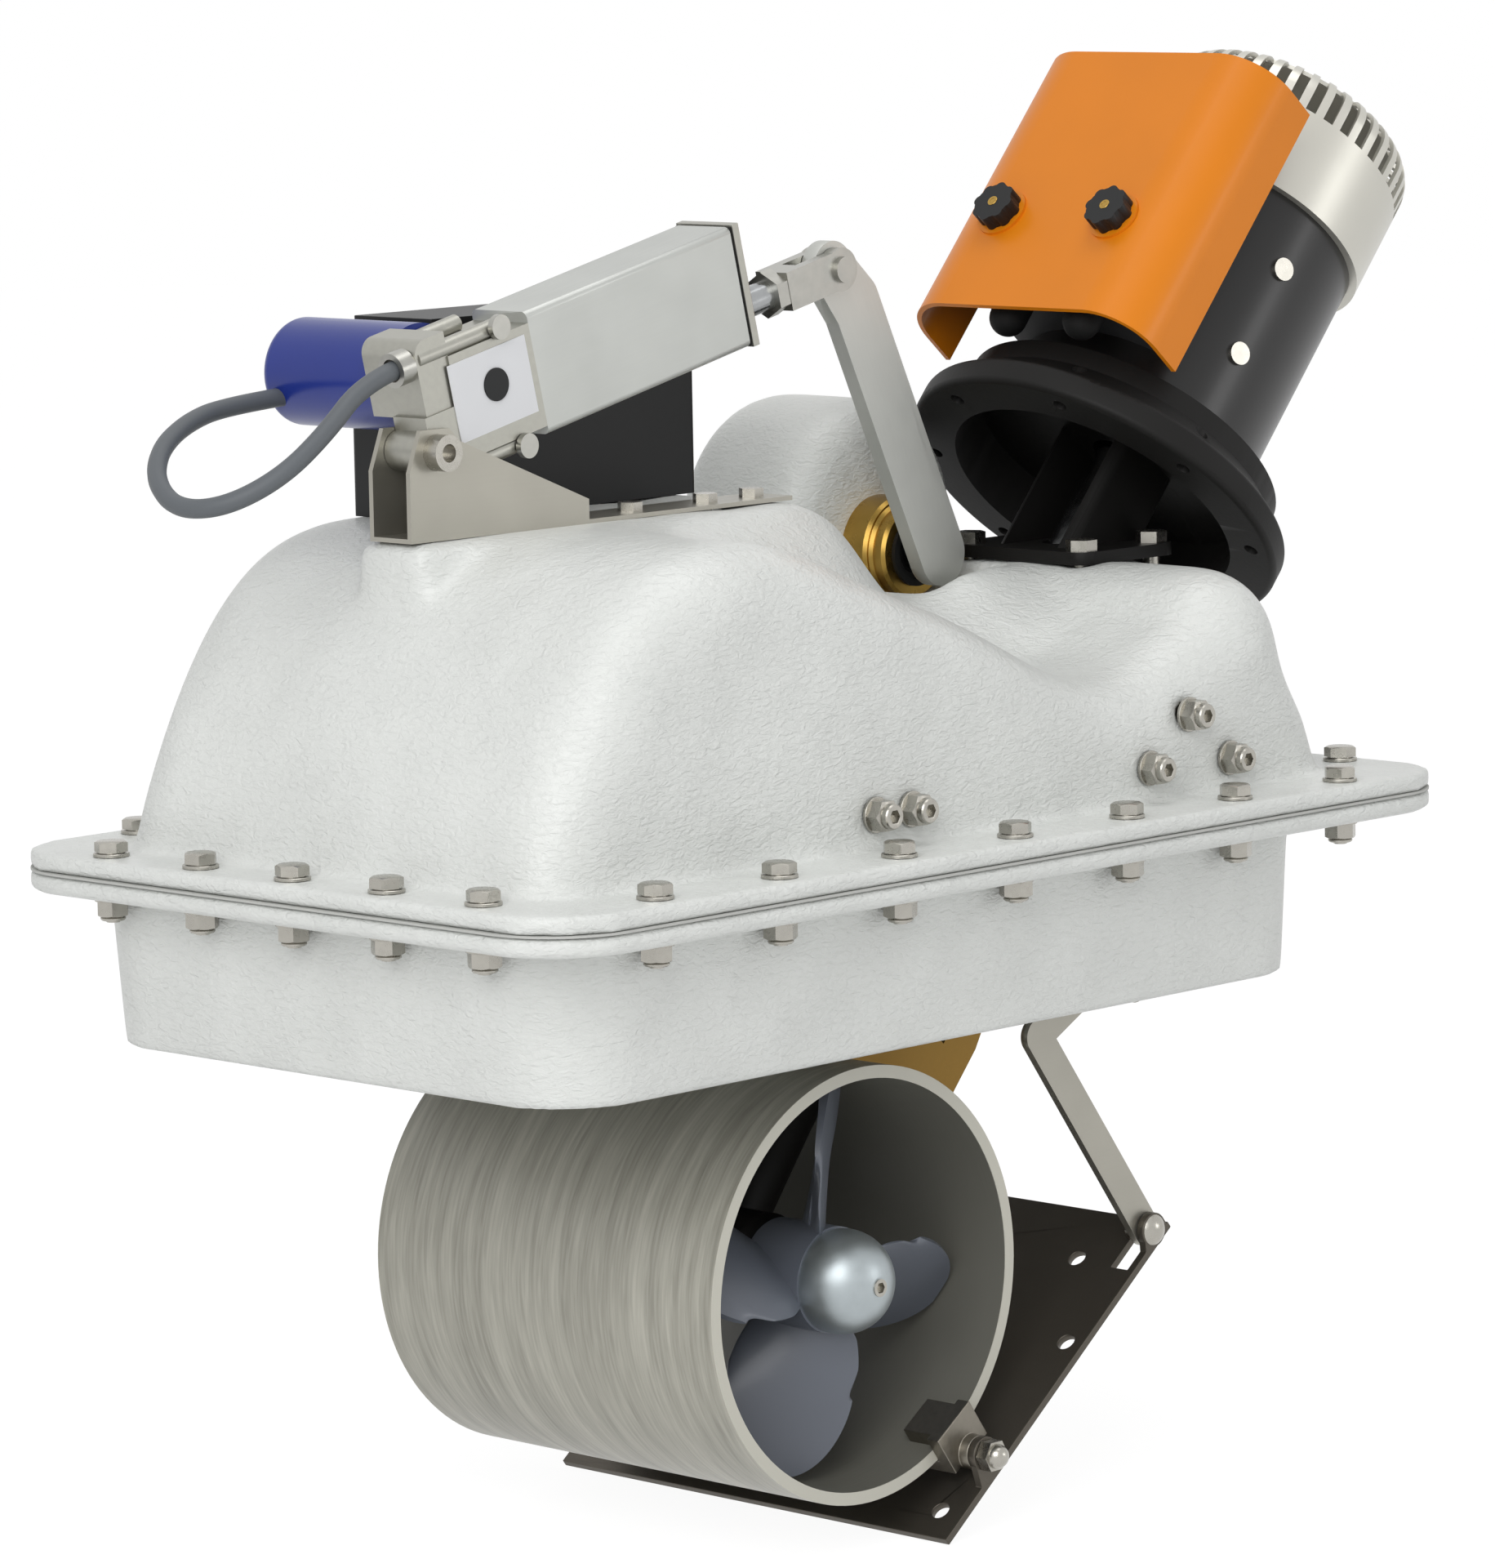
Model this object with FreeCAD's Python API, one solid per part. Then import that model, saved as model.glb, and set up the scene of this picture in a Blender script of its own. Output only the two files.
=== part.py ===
"""Retractable bow thruster: moulded two-part housing, swinging tunnel unit, hull hatch linkage,
lever and electric actuator, tilted electric motor.  Millimetres, +Z up, X fore and aft,
Y along the thruster tunnel.  The origin is the middle of the housing's flange joint."""
import FreeCAD, Part
import math
import os

V = FreeCAD.Vector

# ---------------------------------------------------------------- driving dimensions
# Flange joint between the upper and lower housing
FLANGE_X, FLANGE_Y, FLANGE_CORNER = 592.0, 356.0, 40.0
UPPER_FLANGE, LOWER_FLANGE, GASKET = 8.0, 9.0, 1.0
LONG_PITCH, LONG_COUNT = 74.8, 7
SHORT_PITCH, SHORT_COUNT = 58.45, 5
LONG_ROW_Y, SHORT_ROW_X = 162.0, 280.0
M8 = 8.0
BOLT_HOLE = 8.6
# Lower housing
BOX_LEFT, BOX_RIGHT, BOX_HALF_Y, BOX_CORNER = -267.5, 221.0, 150.0, 40.0
BOX_RIM_Z = -80.0
BOX_WALL, BOX_DRAFT = 6.0, 3.0
# Upper housing
UP_WALL = 5.0
UP_HALF_Y = 138.0
UP_ROUND = 30.0
PLATEAU_Z = 145.0
HUMP_Z = 104.0
DOME_X, DOME_Z, DOME_R = 152.0, 118.0, 62.0
DOME_NEAR_Y = 57.0
# Swing mechanism
DRIVE_TILT = 41.0
TUNNEL_X, TUNNEL_Z = -40.0, -193.0
SWING_RADIUS = 287.0
SWING_ANGLE = 51.0
TUNNEL_BORE, TUNNEL_WALL, TUNNEL_LENGTH = 185.0, 5.75, 211.0
SHAFT_CLEAR = 0.05
TRUNNION_R = 8.0
ARM_Y, ARM_T = 44.0, 7.0
# Hatch linkage
HATCH_TILT = 38.0
HATCH_LOW_X, HATCH_LOW_Z = -8.0, -312.0
HATCH_LENGTH, HATCH_HALF_Y, HATCH_T = 196.0, 122.0, 3.5
HINGE_ALONG, HINGE_UP = 42.8, 10.0
LINK_ALONG, LINK_UP = 187.0, 4.0
LINK_PIVOT_OFF = 75.0
LINK_W, LINK_T = 16.0, 4.0
PIN_D = 8.0
# Lever, crank and actuator
CRANK_X, CRANK_Z = 151.0, 109.0
LEVER_ANGLE = 26.0
LEVER_TOP_X, LEVER_TOP_Z = 79.0, 246.5
LEVER_Y, LEVER_T, LEVER_W = 16.0, 8.0, 30.0
CRANK_SHAFT_D, BUSH_D = 20.0, 52.0
INNER_CRANK = 38.0
TAIL_X, TAIL_Z = -190.0, 183.5
ROD_D = 14.0
# Motor
RING_S, RING_R = 425.0, 95.0
MOTOR_R, MOTOR_S0, MOTOR_S1 = 62.0, 460.0, 585.0
COWL_R, COWL_S1 = 66.0, 654.0
# Fits
GAP = 0.3

# ---------------------------------------------------------------- helpers
os.makedirs("parts", exist_ok=True)


def save(name, *solids):
    """Write one node; several solids stay separate pieces of it."""
    flat = []
    for shape in solids:
        flat += shape.Solids
    shape = flat[0] if len(flat) == 1 else Part.makeCompound(flat)
    shape.exportStep("parts/" + name + ".step")
    for piece in flat:
        if not piece.isValid():
            print("INVALID piece in", name)
    print(f"{name:22s} {len(flat):3d} solid(s) {sum(s.Volume for s in flat) / 1000:9.1f} cm3")


def box(x0, x1, y0, y1, z0, z1):
    return Part.makeBox(x1 - x0, y1 - y0, z1 - z0, V(x0, y0, z0))


def cyl(radius, start, end):
    axis = V(*end) - V(*start)
    return Part.makeCylinder(radius, axis.Length, V(*start), axis)


def ycyl(radius, x, z, y0, y1):
    return cyl(radius, (x, y0, z), (x, y1, z))


def zcyl(radius, x, y, z0, z1):
    return cyl(radius, (x, y, z0), (x, y, z1))


def hexagon(across, x, y, z0, z1):
    """Hexagonal prism along Z, `across` flats."""
    r = across / math.sqrt(3)
    pts = [V(x + r * math.cos(math.radians(60 * k)), y + r * math.sin(math.radians(60 * k)), z0)
           for k in range(7)]
    return Part.Face(Part.makePolygon(pts)).extrude(V(0, 0, z1 - z0))


def prism_xz(points, y0, y1):
    pts = [V(x, y0, z) for x, z in points]
    return Part.Face(Part.makePolygon(pts + [pts[0]])).extrude(V(0, y1 - y0, 0))


def rounded_rect_wire(x0, x1, y0, y1, r, z):
    q = r * (1 - math.sqrt(0.5))
    c = [(x0, y0 + r), (x0 + q, y0 + q), (x0 + r, y0), (x1 - r, y0), (x1 - q, y0 + q), (x1, y0 + r),
         (x1, y1 - r), (x1 - q, y1 - q), (x1 - r, y1), (x0 + r, y1), (x0 + q, y1 - q), (x0, y1 - r)]
    p = [V(x, y, z) for x, y in c]
    edges = []
    for k in range(0, 12, 3):
        edges.append(Part.Arc(p[k], p[k + 1], p[k + 2]).toShape())
        edges.append(Part.LineSegment(p[k + 2], p[(k + 3) % 12]).toShape())
    return Part.Wire(edges)


def rounded_plate(x0, x1, y0, y1, r, z0, z1):
    return Part.Face(rounded_rect_wire(x0, x1, y0, y1, r, z0)).extrude(V(0, 0, z1 - z0))


def bar(p, q, r_p, r_q, y0, y1):
    """Flat bar in the XZ plane: the hull of a circle round p and one round q."""
    (px, pz), (qx, qz) = p, q
    length = math.hypot(qx - px, qz - pz)
    lean = math.atan2(qz - pz, qx - px)
    side = math.acos((r_p - r_q) / length)
    pts = []
    for (cx, cz), r, a in ((p, r_p, lean + side), (q, r_q, lean + side),
                           (q, r_q, lean - side), (p, r_p, lean - side)):
        pts.append((cx + r * math.cos(a), cz + r * math.sin(a)))
    solid = prism_xz(pts, y0, y1)
    solid = solid.fuse([ycyl(r_p, px, pz, y0, y1), ycyl(r_q, qx, qz, y0, y1)])
    return solid.removeSplitter()


def turn(shape, x, z, degrees):
    """Copy of shape, turned about the Y axis through (x, z); + takes the top to +X."""
    other = shape.copy()
    other.rotate(V(x, 0, z), V(0, 1, 0), degrees)
    return other


def turn_point(p, centre, degrees):
    a = math.radians(degrees)
    x, z = p[0] - centre[0], p[1] - centre[1]
    return (centre[0] + x * math.cos(a) + z * math.sin(a),
            centre[1] - x * math.sin(a) + z * math.cos(a))


def mirror_y(shape):
    return shape.mirror(V(0, 0, 0), V(0, 1, 0))


def both_sides(shape):
    return [shape, mirror_y(shape)]


TUNNEL = (TUNNEL_X, TUNNEL_Z)
DIR = (math.sin(math.radians(DRIVE_TILT)), math.cos(math.radians(DRIVE_TILT)))
PIVOT = (TUNNEL_X + SWING_RADIUS * DIR[0], TUNNEL_Z + SWING_RADIUS * DIR[1])
TUNNEL_R = TUNNEL_BORE / 2 + TUNNEL_WALL


def on_drive(shape):
    """Place a shape made in the drive's own frame: z along the shaft from the tunnel axis,
    x across it (downhill), y along the tunnel."""
    other = shape.copy()
    other.rotate(V(0, 0, 0), V(0, 1, 0), DRIVE_TILT)
    other.translate(V(TUNNEL_X, 0, TUNNEL_Z))
    return other


# ---------------------------------------------------------------- flange bolts
BOLT_XY = []
for k in range(LONG_COUNT):
    x = (k - (LONG_COUNT - 1) / 2) * LONG_PITCH
    BOLT_XY += [(x, -LONG_ROW_Y), (x, LONG_ROW_Y)]
for k in range(SHORT_COUNT):
    y = (k - (SHORT_COUNT - 1) / 2) * SHORT_PITCH
    BOLT_XY += [(-SHORT_ROW_X, y), (SHORT_ROW_X, y)]
FLANGE_BOTTOM = -GASKET - LOWER_FLANGE
HEAD_H, WASHER_T, WASHER_R, NUT_H = 5.3, 1.6, 8.0, 6.8
HEX = 13.0


def flange_bolt(x, y):
    top = UPPER_FLANGE + WASHER_T
    head = hexagon(HEX, x, y, top, top + HEAD_H)
    washer = zcyl(WASHER_R, x, y, UPPER_FLANGE, top)
    shank = zcyl(M8 / 2, x, y, FLANGE_BOTTOM - 11, top)
    return head.fuse([washer, shank])


def flange_nut(x, y):
    under = FLANGE_BOTTOM - WASHER_T
    washer = zcyl(WASHER_R, x, y, under, FLANGE_BOTTOM)
    nut = hexagon(HEX, x, y, under - NUT_H, under)
    collar = zcyl(HEX / 2 - 0.6, x, y, under - NUT_H - 2.2, under - NUT_H)
    return nut.fuse([washer, collar]).cut(zcyl(M8 / 2, x, y, under - 20, FLANGE_BOTTOM + 1))


def flange_plate(z0, z1):
    plate = rounded_plate(-FLANGE_X / 2, FLANGE_X / 2, -FLANGE_Y / 2, FLANGE_Y / 2,
                          FLANGE_CORNER, z0, z1)
    holes = [zcyl(BOLT_HOLE / 2, x, y, z0 - 1, z1 + 1) for x, y in BOLT_XY]
    return plate.cut(holes)


# ---------------------------------------------------------------- upper housing
# Outline of the shell seen along Y: the near side dips in front of the lever, the far side
# carries the actuator plateau, the saddle and the motor hump.
LEFT_END = [(-264, 0), (-262, 18), (-253, 42), (-232, 83), (-206, 117), (-176, 138), (-146, PLATEAU_Z)]
NEAR_TOP = LEFT_END + [(-100, 142), (-43, 121), (10, 101), (55, 80), (98, 65), (135, 70), (165, 86),
                       (190, 93), (213, 84), (233, 60), (248, 32), (259, 0)]
FAR_TOP = LEFT_END + [(-60, PLATEAU_Z), (25, PLATEAU_Z), (52, 134), (80, 102), (108, 92), (140, 102),
                      (178, HUMP_Z), (222, HUMP_Z), (245, 90), (257, 62), (261, 32), (262, 0)]
BLEND_NEAR_Y, BLEND_FAR_Y = -62.0, -8.0


def outline(points, y, inset):
    """Closed XZ wire: a smooth curve through the points, moved inwards by inset, and a base."""
    curve = Part.BSplineCurve()
    curve.interpolate([V(x, y, z) for x, z in points])
    first, last = curve.FirstParameter, curve.LastParameter
    moved = []
    steps = len(points) - 1
    for k, (x, z) in enumerate(points):
        u = curve.parameter(V(x, y, z))
        t = curve.tangent(min(max(u, first), last))[0]
        moved.append(V(x + t.z * inset, y, z - t.x * inset))
    moved[0] = V(points[0][0] + inset, y, -20)
    moved[steps] = V(points[steps][0] - inset, y, -20)
    top = Part.BSplineCurve()
    top.interpolate(moved)
    return Part.Wire([top.toShape(), Part.makeLine(moved[steps], moved[0])])


def shell_body(inset):
    """The housing's form, or its cavity when inset by the wall thickness."""
    half = UP_HALF_Y - inset
    parts = []
    for points0, y0, points1, y1 in ((NEAR_TOP, -half, NEAR_TOP, BLEND_NEAR_Y),
                                     (NEAR_TOP, BLEND_NEAR_Y, FAR_TOP, BLEND_FAR_Y),
                                     (FAR_TOP, BLEND_FAR_Y, FAR_TOP, half)):
        parts.append(Part.makeLoft([outline(points0, y0, inset), outline(points1, y1, inset)],
                                   True, True))
    body = parts[0].fuse(parts[1:])
    edges = [e for e in body.Edges
             if abs(abs(e.CenterOfMass.y) - half) < 0.01 and e.BoundBox.ZMax > 20]
    edges = [e for e in edges if e.BoundBox.YLength < 0.01]
    body = body.makeFillet(UP_ROUND - inset, edges)
    body = body.cut(ycyl(SCOOP_R + inset, CRANK_X, CRANK_Z, SCOOP_Y - inset, DOME_NEAR_Y + inset))
    dome_r, dome_y = DOME_R - inset, DOME_NEAR_Y + inset
    dome = ycyl(dome_r, DOME_X, DOME_Z, dome_y, half)
    skirt = box(DOME_X - dome_r, DOME_X + dome_r, dome_y, half, -20, DOME_Z)
    dome = dome.fuse(skirt).removeSplitter()
    rims = [e for e in dome.Edges if e.Curve.TypeId == "Part::GeomCircle"]
    dome = dome.makeFillet(18.0 - inset, rims)
    return body.fuse(dome)


def bracket_pad():
    """Moulded ledge that carries the actuator bracket out over the rounded end."""
    pad = box(PAD_X0, -100, PAD_Y0, PAD_Y1, 60, PLATEAU_Z)
    return pad.makeFillet(PAD_ROUND, [e for e in pad.Edges if e.BoundBox.ZLength > 50
                                      and e.CenterOfMass.x < PAD_X0 + 1])


PAD_X0, PAD_Y0, PAD_Y1, PAD_ROUND = -209.0, -10.0, 36.0, 9.0
SCOOP_R, SCOOP_Y = 31.0, 2.0
SEAT_X0, SEAT_X1, SEAT_Y, SEAT_T = 182.0, 250.0, 44.0, 6.0


def motor_pad():
    """Drafted block under the motor's seat, so that the seat is flat to its edges."""
    low, spread = 50.0, 24.0
    foot = rounded_rect_wire(SEAT_X0 - spread, SEAT_X1 + 8, -SEAT_Y - spread, SEAT_Y + spread, 26.0, low)
    top = rounded_rect_wire(SEAT_X0, SEAT_X1, -SEAT_Y, SEAT_Y, 12.0, HUMP_Z)
    return Part.makeLoft([foot, top], True, True)


NOSE_X, NOSE_R, NOSE_TOP = 197.0, 37.0, 106.0


def near_nose():
    """Rounded end of the motor hump, carried out to the near wall."""
    z, end = NOSE_TOP - NOSE_R, -UP_HALF_Y + NOSE_R
    return ycyl(NOSE_R, NOSE_X, z, end, 0).fuse(Part.makeSphere(NOSE_R, V(NOSE_X, end, z)))


# Holes that the housing needs are cut from these.
SHAFT_SEAL_R = 19.0
WALL_BOLTS = [(PIVOT[0] - 2.7, PIVOT[1] + 21.7), (PIVOT[0] - 30.3, PIVOT[1]),
              (PIVOT[0] + 25.7, PIVOT[1] - 1.2)]
STOP_BOLTS = [(-64.0, 23.0), (-41.0, 23.0)]
BRACKET_BOLTS = [(-60.0, 12.0), (-12.0, 12.0), (18.0, 12.0)]
MOTOR_BOLTS = [(x, y) for x in (191.0, 241.0) for y in (-35.0, 35.0)]


def upper_housing():
    outer = shell_body(0).common(box(-300, 300, -200, 200, 0, 300))
    solid = outer.fuse([flange_plate(0, UPPER_FLANGE), bracket_pad(), motor_pad(), near_nose()])
    solid = solid.cut(UPPER_CAVITY)
    lands = [box(PAD_X0 - 2, 60, PAD_Y0 - 2, 120, PLATEAU_Z, PLATEAU_Z + 20),
             box(SEAT_X0 - 2, SEAT_X1 + 2, -SEAT_Y - 2, SEAT_Y + 2, HUMP_Z, HUMP_Z + 20)]
    solid = solid.cut(lands)
    cuts = [on_drive(Part.makeCylinder(SHAFT_SEAL_R, 60, V(0, 0, 360))),
            ycyl(CRANK_SHAFT_D / 2 + 3, CRANK_X, CRANK_Z, DOME_NEAR_Y - 5, DOME_NEAR_Y + 20)]
    for x, z in WALL_BOLTS + STOP_BOLTS:
        cuts.append(ycyl(BOLT_HOLE / 2, x, z, -200, 200))
    for x, y in BRACKET_BOLTS:
        cuts.append(zcyl(3.3, x, y, 120, 160))
    for x, y in MOTOR_BOLTS:
        cuts.append(zcyl(4.3, x, y, 80, 120))
    return solid.cut(cuts)


UPPER_CAVITY = shell_body(UP_WALL)
UPPER = upper_housing()
save("upper_housing", UPPER)

# ---------------------------------------------------------------- lower housing, gasket, bolts


def box_body(inset):
    """Drafted open box under the flange; its far-end wall is almost upright."""
    depth = FLANGE_BOTTOM - BOX_RIM_Z
    spread = depth * math.tan(math.radians(BOX_DRAFT))
    over = 12.0
    low = rounded_rect_wire(BOX_LEFT + inset, BOX_RIGHT - inset, -BOX_HALF_Y + inset,
                            BOX_HALF_Y - inset, BOX_CORNER - inset, BOX_RIM_Z)
    high = rounded_rect_wire(BOX_LEFT + inset - spread, BOX_RIGHT - inset + 1, -BOX_HALF_Y + inset - spread,
                             BOX_HALF_Y - inset + spread, BOX_CORNER - inset, FLANGE_BOTTOM)
    body = Part.makeLoft([low, high], True, True)
    if inset:
        ends = [(Part.Face(low), V(0, 0, -over)), (Part.Face(high), V(0, 0, over))]
        body = body.fuse([face.extrude(step) for face, step in ends])
    return body


CAVITY = box_body(BOX_WALL)
LOWER = box_body(0).fuse(flange_plate(FLANGE_BOTTOM, -GASKET)).cut(CAVITY)
save("lower_housing", LOWER)
gasket = flange_plate(-GASKET, 0).cut(rounded_plate(-262, 259, -149, 149, 40, -5, 5))
save("flange_gasket", gasket)
save("flange_bolts", *[flange_bolt(x, y) for x, y in BOLT_XY])
save("flange_nuts", *[flange_nut(x, y) for x, y in BOLT_XY])


# ---------------------------------------------------------------- wall fittings of the upper housing
WALL_IN, WALL_OUT = UP_HALF_Y - UP_WALL, UP_HALF_Y
PLATE_T, BOSS_R, BOSS_Y = 10.0, 13.0, 113.0


def wall_bolt(x, z):
    """Bolt through the near wall: threaded end in the inner plate, nut and socket end outside."""
    y = -WALL_OUT
    washer = ycyl(WASHER_R, x, z, y - WASHER_T, y)
    nut = turn(hexagon(HEX, 0, 0, 0, NUT_H), 0, 0, 0)
    nut.rotate(V(0, 0, 0), V(1, 0, 0), 90)
    nut.translate(V(x, y - WASHER_T, z))
    end = ycyl(5.6, x, z, y - WASHER_T - NUT_H - 3.5, y - WASHER_T)
    socket = hexagon(6.0, 0, 0, 0, 4)
    socket.rotate(V(0, 0, 0), V(1, 0, 0), 90)
    socket.translate(V(x, y - WASHER_T - NUT_H, z))
    shank = ycyl(M8 / 2, x, z, y, -WALL_IN + PLATE_T - 2)
    return washer.fuse([nut, end, shank]).cut(socket)


def pivot_plate():
    """Bearing plate inside the near wall that carries one trunnion."""
    y0, y1 = -WALL_IN, -WALL_IN + PLATE_T
    arms = [bar(PIVOT, p, 16.0, 11.0, y0, y1) for p in WALL_BOLTS]
    plate = arms[0].fuse(arms[1:] + [ycyl(BOSS_R, *PIVOT, y0, -BOSS_Y)]).removeSplitter()
    holes = [ycyl(M8 / 2, x, z, y0 - 1, y1 - 2) for x, z in WALL_BOLTS]
    plate = plate.common(UPPER_CAVITY)
    return plate.cut(holes + [ycyl(TRUNNION_R + SHAFT_CLEAR, *PIVOT, y0 - 1, 0)])


def stop_bracket():
    """Folded plate inside the near wall with its rubber buffer, which meets the raised tunnel."""
    (x0, z0), (x1, z1) = STOP_BOLTS
    y0, y1 = -WALL_IN, -WALL_IN + PLATE_T
    plate = box(x0 - 11, x1 + 11, y0, y1, z0 - 11, z0 + 16)
    return plate.cut([ycyl(M8 / 2, x, z, y0 - 1, y1 - 2) for x, z in STOP_BOLTS])


save("wall_bolts", *[s for p in WALL_BOLTS + STOP_BOLTS for s in both_sides(wall_bolt(*p))])
save("pivot_plates", *both_sides(pivot_plate()))
save("stop_brackets", *both_sides(stop_bracket()))

# ---------------------------------------------------------------- lever and crank inside the dome
CRANK = (CRANK_X, CRANK_Z)
LEVER_TOP = (LEVER_TOP_X, LEVER_TOP_Z)
LEVER_BEND = (95.0, 229.0)
SHAFT_R = CRANK_SHAFT_D / 2
BUSH_Y = 34.0
CRANK_PLATE_Y, CRANK_PLATE_T = DOME_NEAR_Y + UP_WALL + 4, 7.0
LINK_Y = CRANK_PLATE_Y + CRANK_PLATE_T + 0.5
LUG_Y = LINK_Y + CRANK_PLATE_T + 0.5
CRANK_PIN_R, LUG_PIN_R, LUG_HOLE_R = 5.0, 4.0, 5.2
drop = math.radians(LEVER_ANGLE / 2)
CRANK_PIN = (CRANK_X - INNER_CRANK * math.cos(drop), CRANK_Z - INNER_CRANK * math.sin(drop))
lug_reach = INNER_CRANK * math.sin(drop) / math.sin(math.radians(SWING_ANGLE / 2))
LUG_PIN = (PIVOT[0] - lug_reach * math.cos(math.radians(SWING_ANGLE / 2)),
           PIVOT[1] - lug_reach * math.sin(math.radians(SWING_ANGLE / 2)))

bush = ycyl(BUSH_D / 2, *CRANK, BUSH_Y + 8, DOME_NEAR_Y).fuse(
    [ycyl(BUSH_D / 2 - 4, *CRANK, BUSH_Y, BUSH_Y + 8),
     ycyl(SHAFT_R + 3, *CRANK, DOME_NEAR_Y, DOME_NEAR_Y + UP_WALL)])
rims = [e for e in bush.Edges if e.Curve.TypeId == "Part::GeomCircle" and e.Curve.Radius > SHAFT_R + 5
        and e.CenterOfMass.y < DOME_NEAR_Y - 1]
bush = bush.makeChamfer(1.5, rims)
bush = bush.cut([ycyl(SHAFT_R + SHAFT_CLEAR, *CRANK, 0, 100), ycyl(SHAFT_R + 6, *CRANK, 0, BUSH_Y + 5)])
save("crank_bush", bush)
seal = ycyl(SHAFT_R + 6, *CRANK, BUSH_Y - 2, BUSH_Y + 5).cut(
    [ycyl(SHAFT_R + 0.1, *CRANK, 0, 100), ycyl(SHAFT_R + 3, *CRANK, 0, BUSH_Y)])
save("crank_seal", seal)

lever = bar(CRANK, LEVER_BEND, LEVER_W / 2, LEVER_W / 2, LEVER_Y, LEVER_Y + LEVER_T).fuse(
    bar(LEVER_BEND, LEVER_TOP, LEVER_W / 2, LEVER_W / 2 - 2, LEVER_Y, LEVER_Y + LEVER_T))
save("lever", lever.removeSplitter())
save("crank_shaft", ycyl(SHAFT_R, *CRANK, LEVER_Y + LEVER_T, CRANK_PLATE_Y + CRANK_PLATE_T))
crank = bar(CRANK, CRANK_PIN, 17.0, 10.0, CRANK_PLATE_Y, CRANK_PLATE_Y + CRANK_PLATE_T)
crank = crank.cut([ycyl(SHAFT_R, *CRANK, 0, 100), ycyl(CRANK_PIN_R, *CRANK_PIN, 0, 100)])
save("inner_crank", crank)
save("crank_pin", ycyl(CRANK_PIN_R, *CRANK_PIN, CRANK_PLATE_Y, LINK_Y + CRANK_PLATE_T))
link = bar(CRANK_PIN, LUG_PIN, 9.0, 9.0, LINK_Y, LINK_Y + CRANK_PLATE_T)
link = link.cut([ycyl(CRANK_PIN_R + SHAFT_CLEAR, *CRANK_PIN, 0, 100),
                 ycyl(LUG_HOLE_R, *LUG_PIN, 0, 100)])
save("drive_link", link)

# ---------------------------------------------------------------- swing unit
ARM_OUT = ARM_Y + ARM_T
SADDLE_T, SADDLE_HALF = 6.0, 48.0
LEG_R, LEG_BORE, LOWER_SHAFT_R = 20.0, 9.0, 9.0
CROSS_S, CROSS_T = 236.0, 12.0
HUB_R, HUB_HALF = 25.0, 44.0
BALL_R = 12.0


def drive_point(across, along):
    """World XZ of a point `across` the drive axis and `along` it from the tunnel axis."""
    return (TUNNEL_X + across * DIR[1] + along * DIR[0], TUNNEL_Z - across * DIR[0] + along * DIR[1])


def swing_arm():
    """Bronze frame: two cheeks from the pivot to a saddle on the tunnel, and a cross web."""
    saddle_r = TUNNEL_R + SADDLE_T
    foot = 80.0
    cheek_pts = [drive_point(*p) for p in ((-18, SWING_RADIUS), (18, SWING_RADIUS), (40, 190),
                                           (SADDLE_HALF, 150), (SADDLE_HALF, foot),
                                           (-SADDLE_HALF, foot), (-SADDLE_HALF, 150), (-40, 190))]
    cheek = prism_xz(cheek_pts, ARM_Y, ARM_OUT).fuse(ycyl(18.0, *PIVOT, ARM_Y, ARM_OUT))
    saddle = ycyl(saddle_r, *TUNNEL, -ARM_OUT, ARM_OUT).common(
        prism_xz([drive_point(*p) for p in ((-SADDLE_HALF, foot), (SADDLE_HALF, foot),
                                            (SADDLE_HALF, 150), (-SADDLE_HALF, 150))],
                 -ARM_OUT, ARM_OUT))
    web = on_drive(Part.makeBox(60, 2 * ARM_Y, CROSS_T, V(-30, -ARM_Y, CROSS_S)))
    rib = on_drive(Part.makeBox(8, 2 * ARM_Y, 60, V(-4, -ARM_Y, CROSS_S - 60)))
    trunnion = ycyl(TRUNNION_R, *PIVOT, ARM_Y, WALL_IN - 1)
    shoulder = ycyl(TRUNNION_R + 1.5, *PIVOT, ARM_OUT, BOSS_Y - GAP)
    solid = cheek.fuse([mirror_y(cheek), saddle, web, trunnion, mirror_y(trunnion), shoulder,
                        mirror_y(shoulder)])
    lug = bar(PIVOT, LUG_PIN, TRUNNION_R + 5, 9.0, LUG_Y, LUG_Y + CRANK_PLATE_T)
    pin = ycyl(LUG_PIN_R, *LUG_PIN, LINK_Y + 0.5, LUG_Y)
    solid = solid.fuse([lug, pin])
    cuts = [ycyl(TUNNEL_R, *TUNNEL, -200, 200),
            on_drive(Part.makeCylinder(LEG_R, 300, V(0, 0, 60)))]
    window = [drive_point(*p) for p in ((-14, 262), (14, 262), (26, 190), (28, 140), (-28, 140), (-26, 190))]
    cuts.append(prism_xz([window[k] for k in (2, 3, 4, 5)], ARM_Y - 1, ARM_OUT + 1))
    cuts.append(prism_xz([window[k] for k in (2, 3, 4, 5)], -ARM_OUT - 1, -ARM_Y + 1))
    return solid.cut(cuts).removeSplitter()


def gearleg():
    """Column tube, streamlined strut and gear hub in the middle of the tunnel."""
    column = Part.makeCylinder(LEG_R, SWING_RADIUS - 40 - 80, V(0, 0, 80))
    chin = Part.makeCone(HUB_R - 2, LEG_R, 64, V(0, 0, 16))
    hub = Part.makeCylinder(HUB_R, 2 * HUB_HALF, V(0, -HUB_HALF, 0), V(0, 1, 0))
    ends = [Part.makeCone(HUB_R, HUB_R - 5, 6, V(0, s * HUB_HALF, 0), V(0, s, 0)) for s in (-1, 1)]
    solid = column.fuse([chin, hub] + ends).removeSplitter()
    return on_drive(solid.cut([Part.makeCylinder(LEG_BORE + SHAFT_CLEAR, 400, V(0, 0, 40)),
                               Part.makeCylinder(PROP_SHAFT_R + SHAFT_CLEAR, 200, V(0, -100, 0),
                                                 V(0, 1, 0))]))


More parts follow.
